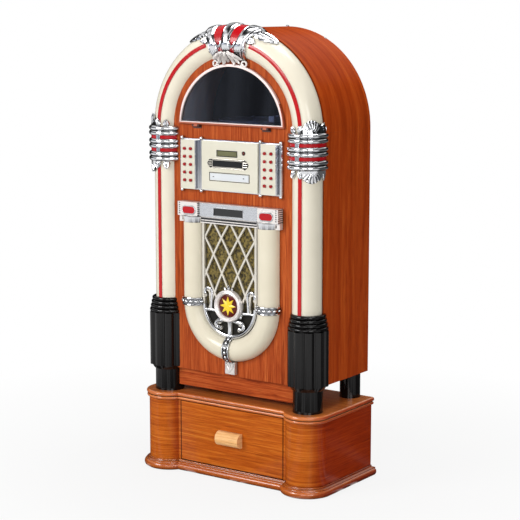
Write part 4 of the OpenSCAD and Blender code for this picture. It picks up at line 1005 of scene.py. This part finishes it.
# %% Trees for rows
def row_tree(name, numbers):
    """A tree with named inputs for a part, its finish and the given numbers."""
    tree = bpy.data.node_groups.new(name, "GeometryNodeTree")
    for label, kind in (("Part", "Object"), ("Finish", "Material"), *numbers):
        tree.interface.new_socket(label, in_out="INPUT", socket_type=f"NodeSocket{kind}")
    tree.interface.new_socket("Geometry", in_out="OUTPUT", socket_type="NodeSocketGeometry")
    given = add(tree, "NodeGroupInput").outputs
    part = add(tree, "ObjectInfo", {"Object": given["Part"]})
    return tree, given, part.outputs["Geometry"]


def close_tree(tree, given, copies):
    """Make the copies real, give them the finish and hand them out."""
    real = add(tree, "RealizeInstances", {"Geometry": copies})
    painted = add(tree, "SetMaterial", {"Geometry": real, "Material": given["Finish"]})
    add(tree, "NodeGroupOutput", {"Geometry": painted})


straight, given, part = row_tree("copies in a row", (("Count", "Int"), ("Place", "Vector"),
                                                     ("Step", "Vector")))
line = add(straight, "MeshLine", {"Count": given["Count"], "Start Location": given["Place"],
                                  "Offset": given["Step"]})
close_tree(straight, given, add(straight, "InstanceOnPoints", {"Points": line, "Instance": part}))

bent, given, part = row_tree("copies round a tube", (
    ("Count", "Int"), ("Radius", "Float"), ("From", "Float"), ("Sweep", "Float"),
    ("Tilt", "Vector"), ("Place", "Vector")))
curve = add(bent, "CurveArc", {"Resolution": given["Count"], "Radius": given["Radius"],
                               "Start Angle": given["From"], "Sweep Angle": given["Sweep"]})
dots = add(bent, "CurveToPoints", {"Curve": curve}, mode="EVALUATED")
beads = add(bent, "InstanceOnPoints", {"Points": dots, "Instance": part,
                                       "Rotation": dots.outputs["Rotation"]})
close_tree(bent, given, add(bent, "Transform", {
    "Geometry": beads, "Translation": given["Place"], "Rotation": given["Tilt"]}))
print("trees:", [tree.name for tree in bpy.data.node_groups])


# %% Running a tree
def repeat(name, tree, part, finish, slot, **numbers):
    """Run a tree on one part's shape and keep the real copies as a piece."""
    pattern, obj = new_object("pattern", part), new_object(name, ([], []))
    rows = obj.modifiers.new("rows", "NODES")
    rows.node_group = tree
    values = {"Part": pattern, "Finish": finish, **numbers}
    for item in tree.interface.items_tree:
        if item.in_out == "INPUT":
            rows[item.identifier] = values[item.name]
    made = obj.evaluated_get(bpy.context.evaluated_depsgraph_get())
    mesh = bpy.data.meshes.new_from_object(made)
    obj.modifiers.remove(rows)
    obj.data = mesh
    bpy.data.objects.remove(pattern)
    settle(obj, slot)


print("sockets of the bent row:", [item.name for item in bent.interface.items_tree])

# %% [markdown]
# ## Control panel trim
# Thin rims finish the display and the tray, and a small dome covers the sensor beside the display.
# They could be bevelled out of the fascia; as pieces of their own they take their own finish.

# %% Rims, dome and marks
FACE = -12.0
SENSOR_MID = (50, FACE, 954)
SENSOR_RIM = ((4.4, 0.2), (4.4, 1.2), (6.0, 1.2), (6.0, 0.2))
SENSOR_DOME = ((0.3, 0.2), (0.3, 3.0), (2.4, 2.6), (4.2, 1.5), (5.0, 0.2))
DISPLAY_RIM = ((-44, 28, 941, 959), (-42, 26, 943, 957))  # outer and inner box
TRAY_RIM = ((-70, 70, 870.5, 895.5), (-68.4, 68.4, 872.1, 893.9))
MARK_X, MARK_Z, MARK_SIZE = (-55, 50), 883, (5, 2)
# Deep black with sharp highlights, like polished lacquer.
dark_field = moulded("dark glossy field", "17181A", "101113", 0.12, 0.6)


def arc(start, sweep, steps):
    """Turns from start on over sweep degrees, in radians."""
    return [math.radians(start + sweep * k / steps) for k in range(steps + 1)]


def rim(outer, inner, y_back, y_front):
    """A flat rectangular rim between two boxes (x0, x1, z0, z1)."""
    return ring([[at(outer[i], y_back, outer[k]), at(outer[i], y_front, outer[k]),
                  at(inner[i], y_front, inner[k]), at(inner[i], y_back, inner[k])]
                 for i, k in ((0, 2), (1, 2), (1, 3), (0, 3))])


def lozenge(cx, cz, w, h):
    """A stadium outline, its ends half circles."""
    return [(cx + side * (w / 2 - h / 2 + h / 2 * math.cos(t)), cz + side * h / 2 * math.sin(t))
            for side in (1, -1) for t in arc(-90, 180, 12)]


def slab(outline, y_back, y_front, edge=0.0):
    """A plate seen from the front, with its front edge drawn in by edge."""
    cx, cz = (sum(axis) / len(outline) for axis in zip(*outline))
    k = 1 - edge / max(math.hypot(x - cx, z - cz) for x, z in outline)
    rows = [[at(x, y_back, z) for x, z in outline]]
    if edge:
        rows.append([at(x, y_front + edge, z) for x, z in outline])
    rows.append([at(cx + (x - cx) * k, y_front, cz + (z - cz) * k) for x, z in outline])
    return capped(rows)


piece("display_rim", together([rim(*DISPLAY_RIM, FACE, FACE - 1.0),
                               turned_piece(SENSOR_RIM, SENSOR_MID, 24)]),
      dark_field, "black_plastic")
piece("tray_rim", rim(*TRAY_RIM, FACE, FACE - 0.6), dark_field, "black_plastic")
piece("tray_marks", together([slab(lozenge(x, MARK_Z, *MARK_SIZE), FACE - 1.0, FACE - 1.4)
                              for x in MARK_X]), dark_field, "black_plastic", body="tray")
piece("sensor_dome", turned_piece(SENSOR_DOME, SENSOR_MID, 24), enamel_red, "red_plastic")

# %% [markdown]
# Between the display and the tray sits a bare dark plate, with a plated edging of thin bars and
# three stripes at each end. A change of colour on the fascia would look printed; thin solids catch
# the light along their edges. Plated side plates close the two button boxes.

# %% Bare plate
PLATE_X, PLATE_Z, EDGING_OUT = -5.0, 921.0, 1.8
PLATE = ((72, 0), (66, 10), (58, 14), (-58, 14), (-66, 10), (-72, 0), (-66, -10), (-58, -14),
         (58, -14), (66, -10))
FIELD, LINE_END, LINE_OFF = (53, 10), 58, 12.9  # half sizes of the field; lines over and under it
STRIPE_ENDS, STRIPE_R, STRIPE_STEP = (55, 69), [1.7, 1.1], 6.2


def rounded(x0, x1, z0, z1, r):
    """A rectangle's outline with round corners."""
    corners = ((x1 - r, z0 + r, -90), (x1 - r, z1 - r, 0), (x0 + r, z1 - r, 90),
               (x0 + r, z0 + r, 180))
    return [(cx + r * math.cos(t), cz + r * math.sin(t)) for cx, cz, start in corners
            for t in arc(start, 90, 5)]


def hoop(outline, radius, spot, sides=10):
    """A round bar along a closed outline; spot(a, b, h) is the bench point h above its (a, b)."""
    loops = []
    for i, (a, b) in enumerate(outline):
        (a0, b0), (a1, b1) = outline[i - 1], outline[(i + 1) % len(outline)]
        k = radius / math.hypot(a1 - a0, b1 - b0)
        out_a, out_b = (b1 - b0) * k, (a0 - a1) * k
        loops.append([at(*spot(a + out_a * math.cos(t), b + out_b * math.cos(t),
                               radius * math.sin(t))) for t in turns(sides)])
    return ring(loops)


def facing(y):
    """For hoop: outlines that lie upright at y and face the front."""
    return lambda x, z, h: (x, y - h, z)


def level_bar(x0, x1, z, radius):
    """A thin straight bar across the plate."""
    return bar([at(PLATE_X + x, FACE - EDGING_OUT, z) for x in (x0, x1)], radius, 8)


edging = [hoop(rounded(PLATE_X - FIELD[0], PLATE_X + FIELD[0], PLATE_Z - FIELD[1],
                       PLATE_Z + FIELD[1], 2), 1.2, facing(FACE - 2.0))]
edging += [level_bar(-LINE_END, LINE_END, PLATE_Z + dz, 1.0) for dz in (-LINE_OFF, LINE_OFF)]
stripe = together([level_bar(*(side * x for x in STRIPE_ENDS), 0, STRIPE_R) for side in (1, -1)])
piece("bare_plate", slab([(PLATE_X + x, PLATE_Z + z) for x, z in PLATE], FACE, FACE - 1.6, 0.5),
      dark_field, "black_plastic")
piece("bare_plate_edging", together(edging), cast_strips, "chrome")
repeat("bare_plate_stripes", straight, stripe, cast_strips, "chrome", Count=3,
       Place=(0, 0, (PLATE_Z - STRIPE_STEP) * MM), Step=(0, 0, STRIPE_STEP * MM))

# %% Side plates of the button boxes
BOX_SIDES = ((-164.5, -1), (-114.5, 1), (114.5, -1), (164.5, 1))  # x, and which way is out
BOX_FOOT, BOX_HEAD = 845, 983
SIDE_FRONT, SIDE_BACK, SIDE_THICK = -21.4, -4.5, 0.9


def box_between(a, b):
    """A plain block between two bench corners."""
    (x0, y0, z0), (x1, y1, z1) = a, b
    return capped([[at(x0, y0, z), at(x1, y0, z), at(x1, y1, z), at(x0, y1, z)] for z in (z0, z1)])


side_plates = []
for x, out in BOX_SIDES:
    left, right = sorted((x, x + out * SIDE_THICK))
    side_plates.append(box_between((left, SIDE_FRONT, BOX_FOOT), (right, SIDE_BACK, BOX_HEAD)))
    side_plates.append(bar([at(x + out * 0.6, -21.2, z) for z in (BOX_FOOT, BOX_HEAD)], 1.3, 8))
piece("box_side_plates", together(side_plates), chrome, "chrome")

# %% [markdown]
# ## Header trim
# Plated bezels hold the red lamps, a brushed face with a dark strip of glass fills the bar between
# the two lamp blocks, and two dark strips set in the grooves under it are painted shade. The
# blocks' side faces carry rows of black fins on satin plates. The fins could be cut into the block,
# but added rods stay crisp.

# %% Bezels, face, glass, groove shade and fins
LAMP_X, LAMP_Z, LAMP_SIZE, BEZEL_R = 135.1, 783.0, (46, 22), 2.0
BLOCK_FACE, BAR_FACE, DARK_FACE, GLASS_BACK, GROOVE_SHADE_BACK = -25.0, -18.0, -16.4, -15.0, -12.2
BLOCK_SIDES, BLOCK_FOOT, BLOCK_HEAD = (-175.0, -105.0, 105.0, 175.0), 767, 805
FLANK_FRONT, FLANK_BACK = -24.4, -2
BAR_BOX, OPENING = (-103.5, 103.5, BLOCK_FOOT, BLOCK_HEAD), (-52.5, 52.5, 771.5, 794.5)
GLASS_BOX = (-51.6, 51.6, 772.4, 793.6)
GROOVE_SHADE_END, GROOVE_SHADE_LINES = 102, ((751.4, 3.6), (758.0, 5.6))  # each line's foot and height
FIN_FRONT, FIN_BACK, FIN_FOOT, FIN_STEP = -24.6, -1.6, 768.5, 5.8
bezels = [hoop(lozenge(side * LAMP_X, LAMP_Z, *LAMP_SIZE), BEZEL_R, facing(BLOCK_FACE - 0.3))
          for side in (1, -1)]
bezels.append(hoop(rounded(*OPENING, 2), 1.5, facing(BAR_FACE - 0.2)))
piece("header_bezels", together(bezels), chrome, "chrome")
piece("header_face", rim(BAR_BOX, OPENING, BAR_FACE, BAR_FACE - 0.8), brushed, "chrome")
piece("header_glass", slab(rounded(*GLASS_BOX, 1.5), GLASS_BACK, DARK_FACE, 0.5), dark_field,
      "black_plastic")
piece("header_side_plates", together([box_between((x - 0.5, FLANK_FRONT, BLOCK_FOOT),
                                                  (x + 0.5, FLANK_BACK, BLOCK_HEAD))
                                      for x in BLOCK_SIDES]), satin, "chrome")
# Dark strips in the two grooves under the bar: painted shade.
piece("header_inlay", together([slab(rounded(-GROOVE_SHADE_END, GROOVE_SHADE_END, z, z + tall, 1), GROOVE_SHADE_BACK,
                                     DARK_FACE, 0.4) for z, tall in GROOVE_SHADE_LINES]),
      dark_field, "black_plastic")
fins = together([bar([at(x, FIN_FRONT, 0), at(x, FIN_BACK, 0)], 1.5, 8) for x in BLOCK_SIDES])
repeat("header_fins", straight, fins, enamel, "black_metal", Count=7, Place=(0, 0, FIN_FOOT * MM),
       Step=(0, 0, FIN_STEP * MM))

# %% [markdown]
# ## Bands and strap
# The bands round the U tube and the strap over its foot are cast with two round rims and a row of
# long beads between them. A bump in the finish could hint at the beads, but they stand out in the
# outline, so the bent tree sets out real ones. The block that ends the strap has a raised edge and
# three small leaves.

# %% Rims and beads
BAND_X, BAND_Z, BAND_HALF, BAND_OUT, BAND_SWEEP = 130.0, 518.0, 9.5, 37.5, 148
STRAP_Z, STRAP_HALF, STRAP_OUT, STRAP_FROM, STRAP_SWEEP = 386.0, 10.0, 37.8, 186, 160
BEAD, BAND_RIM, STRAP_RIM = (4.6, 4.6, 6.6), 2.3, 2.0


def ball(x, y, z):
    """A closed ball about the origin with the given half sizes."""
    rings = [math.pi * (0.06 + 0.88 * i / 6) for i in range(7)]
    return capped([[Vector((x * math.sin(a) * math.cos(t), y * math.sin(a) * math.sin(t),
                            z * math.cos(a))) * MM for t in turns(12)] for a in rings])


def round_tube(start, sweep, r, spot):
    """Points on an arc of r round a tube; spot turns the arc's two distances into a bench point."""
    return [at(*spot(r * math.cos(t), r * math.sin(t))) for t in arc(start, sweep, 32)]


def beading(name, count, r, start, sweep, tilt, place):
    """A row of beads on an arc round a tube."""
    repeat(name, bent, ball(*BEAD), cast_chrome, "chrome", Count=count, Radius=r * MM,
           From=math.radians(start), Sweep=math.radians(sweep), Tilt=tilt, Place=tuple(at(*place)))


rims = []
for side, name, start in ((1, "right", 206), (-1, "left", 186)):
    for z in (BAND_Z - BAND_HALF, BAND_Z + BAND_HALF):
        rims.append(bar(round_tube(start, BAND_SWEEP, BAND_OUT,
                                   lambda a, b: (side * BAND_X + a, b, z)), BAND_RIM, 8))
    beading(f"band_beads_{name}", 7, BAND_OUT, start, BAND_SWEEP, (0, 0, 0),
            (side * BAND_X, 0, BAND_Z))
for x in (-STRAP_HALF, STRAP_HALF):
    rims.append(bar(round_tube(STRAP_FROM, STRAP_SWEEP, STRAP_OUT,
                               lambda a, b: (x, b, STRAP_Z - a)), STRAP_RIM, 8))
piece("band_rims", together(rims), cast_chrome, "chrome")
beading("strap_beads", 8, STRAP_OUT, STRAP_FROM, STRAP_SWEEP, (0, math.pi / 2, 0), (0, 0, STRAP_Z))

# %% Dark inlay and the block's relief
INLAY = ((-8, STRAP_OUT - 0.6), (-8, STRAP_OUT + 0.5), (8, STRAP_OUT + 0.5), (8, STRAP_OUT - 0.6))
STRAP_BLOCK, BLOCK_LINE = (-17, 17, 314.9, 351.5), (-14.5, 14.5, 317.5, 349)
BLOCK_BACK, BLOCK_OUT, BLOCK_LEAF_Z = -11.0, -12.8, 320
piece("strap_inlay", capped([[at(x, r * math.sin(a), STRAP_Z - r * math.cos(a)) for x, r in INLAY]
                             for a in arc(STRAP_FROM, STRAP_SWEEP, 40)]),
      dark_field, "black_plastic")
raised = [slab(rounded(*STRAP_BLOCK, 3), BLOCK_BACK, BLOCK_OUT, 0.6),
          hoop(rounded(*BLOCK_LINE, 2), 0.9, facing(BLOCK_OUT))]
for lean in (0.5, -0.5, 0):
    raised.append(leaf(lambda u, v, h: at(lean * u + v, BLOCK_OUT - h, BLOCK_LEAF_Z + u), 26, 9,
                       teeth=2, rise=2.0, folds=0.5))
piece("strap_block_relief", together(raised), cast_satin, "chrome")

# %% [markdown]
# ## Scrollwork
# Round the medallion the grille is cast in one with its curls: commas that end in a ball, hooks at
# the sides, a stem, a heavy lip along the foot of the rim and a crest of three leaves on top. The
# solid's strips are flat, so tapered round bars are laid along them to give the casting its swell.

# %% Curls, hooks, stem, lip and crest
RIM_Z, LIP_R, SCROLL_FACE, LIP_FACE, CREST_FACE = 516.0, 89.5, -12.6, -13.2, -17
SCROLLS = (  # (x, z, thickness) along each bar of the right half
    ((6, 475, 5.2), (16, 472, 5.4), (27, 470, 5.8), (38, 469, 6.0), (46, 465, 6.0),
     (49.5, 458, 5.8), (47, 451.5, 5.4), (41, 448, 5.2), (35, 449.5, 6.0), (32.5, 453, 5.0)),
    ((62, 549, 3.2), (65, 556, 3.6), (71, 560, 4.0), (79, 560.5, 4.2), (86, 556, 4.2),
     (89, 549, 4.4), (87, 543, 5.2)),
    ((44, 497, 4.0), (56, 497, 4.4), (66, 498, 4.6), (78, 497, 4.2), (88, 498, 4.0)),
    ((66, 497, 4.4), (65, 515, 3.6), (63.5, 533, 3.4), (62, 549, 3.4)),
    ((40, 496, 3.4), (38.5, 490, 3.2), (37.5, 485, 5.6), (37, 481.5, 4.2)))
STEM = ((474, 9), (464, 7), (452, 5.5), (440, 6), (428, 8))  # z, thickness
CREST, CREST_Z = ((0, 20), (10, 16), (-10, 16)), 556  # aside, height
scrollwork = [bar([at(side * x, SCROLL_FACE, z) for x, z, thick in path],
                  [thick for x, z, thick in path], sides=12, flat=0.7)
              for side in (1, -1) for path in SCROLLS]
scrollwork.append(bar([at(0, SCROLL_FACE, z) for z, thick in STEM],
                      [thick for z, thick in STEM], sides=14, flat=0.5))
scrollwork.append(bar([at(LIP_R * math.cos(t), LIP_FACE, RIM_Z + LIP_R * math.sin(t))
                       for t in arc(-178, 176, 60)], 4.4, flat=0.8))
for x, tall in CREST:
    scrollwork.append(leaf(lambda u, v, h: at(x + v + 0.02 * x * u, CREST_FACE - h,
                                              CREST_Z + u - abs(x) * 0.2),
                           tall, 10, teeth=1, rise=4.0, folds=0.5))
piece("grille_scrollwork", together(scrollwork), cast_chrome, "chrome")

# %% [markdown]
# ## Stretched cloth
# The loudspeaker's cloth is one sheet, pulled tight over a thin board and turned back round its
# edge. A cloth simulation would only show that tight cloth lies flat, so a plate with a softened
# front edge is its true form, and the weave comes from its finish. It takes the plain solid's
# place, at the size that the solid was cut to.

# %% Cloth over its board
CLOTH_FACE, CLOTH_TURN = -4.0, 1.2
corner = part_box("speaker_cloth")[1]
half, top = corner[0] / MM, corner[2] / MM
cloth_plan = [(half * math.cos(t), RIM_Z + half * math.sin(t)) for t in arc(-180, 180, 48)]
cloth_plan += [(half, top), (-half, top)]
sheet = piece("speaker_cloth_sheet", slab(cloth_plan, 0.0, CLOTH_FACE, CLOTH_TURN), cloth,
              "speaker_fabric", instead_of=["speaker_cloth"])

# %% [markdown]
# ## Ferrules
# A plated ring closes the top of each limb of the U tube, under its lamp block. A whole ring could
# be sunk into the panel; this one is turned from its profile over half a circle only, because the
# limb is half round and lies on the panel.

# %% Rings on the U tube
FERRULE = ((30, 748.6), (34.2, 748.6), (34.6, 749.8), (36.7, 764.4), (35.8, 765.6), (30, 765.6))
ferrules = [capped([[at(side * BAND_X + r * math.cos(t), r * math.sin(t), z) for r, z in FERRULE]
                    for t in arc(182, 176, 40)]) for side in (1, -1)]
piece("tube_ferrules", together(ferrules), chrome, "chrome")

# %% [markdown]
# ## Base beads
# Two thin beads run round the base, above the rounded foot and under the drawer, and catch a line
# of light. A bevel on the base would have to follow every edge; a bar along the base's own outline
# goes only where the bead is.

# %% Beads round the base
POST_X, PILASTER, BODY_FRONT, BODY_BACK = 246.0, 62.0, -8.0, 266.0
BASE_BEADS, BEAD_R = ((9.2, 21.8), (1.6, 28.4)), 1.7  # out from the body, height


def base_plan(out):
    """The base's outline seen from above, grown outwards, as bench x and y."""
    r, front = PILASTER + out, BODY_FRONT - out
    start = 180 + math.degrees(math.asin((TUBE_SET - front) / r))
    right = [(POST_X + r * math.cos(t), TUBE_SET + r * math.sin(t))
             for t in arc(start, 360 - start, 28)]
    right.append((POST_X + r, BODY_BACK + out))
    return right + [(-x, y) for x, y in reversed(right)]


piece("base_beads", together([hoop(base_plan(out), BEAD_R, lambda x, y, h: (x, y, z + h), 8)
                              for out, z in BASE_BEADS]), moulding_oak, "base_wood")

# %% [markdown]
# ## Screws of the back
# The back board is held by a column of screws on each side and a row round the arch. Real screws
# with slots could be modelled, but their heads are seen from metres away: a ball that is sunk into
# the board until 1.2 mm of it stands out is enough. The two trees for rows put them in place.

# %% Screws in the back board
SCREW_Y, SCREW_X, SCREW_R, SCREW_FOOT, SCREW_STEP, SCREW_ARCH = 279.2, 259.0, 5.0, 345, 155, 25
screw = ball(SCREW_R, SCREW_R, SCREW_R)
pair = together([([v + Vector((side * SCREW_X * MM, 0, 0)) for v in screw[0]], screw[1])
                 for side in (1, -1)])
repeat("back_screws_sides", straight, pair, zinc, "grey_metal", Count=5,
       Place=tuple(at(0, SCREW_Y, SCREW_FOOT)), Step=(0, 0, SCREW_STEP * MM))
repeat("back_screws_arch", bent, screw, zinc, "grey_metal", Count=7, Radius=SCREW_X * MM, From=0.0,
       Sweep=math.pi, Tilt=(math.pi / 2, 0, 0), Place=tuple(at(0, SCREW_Y, ARCH_Z + SCREW_ARCH)))
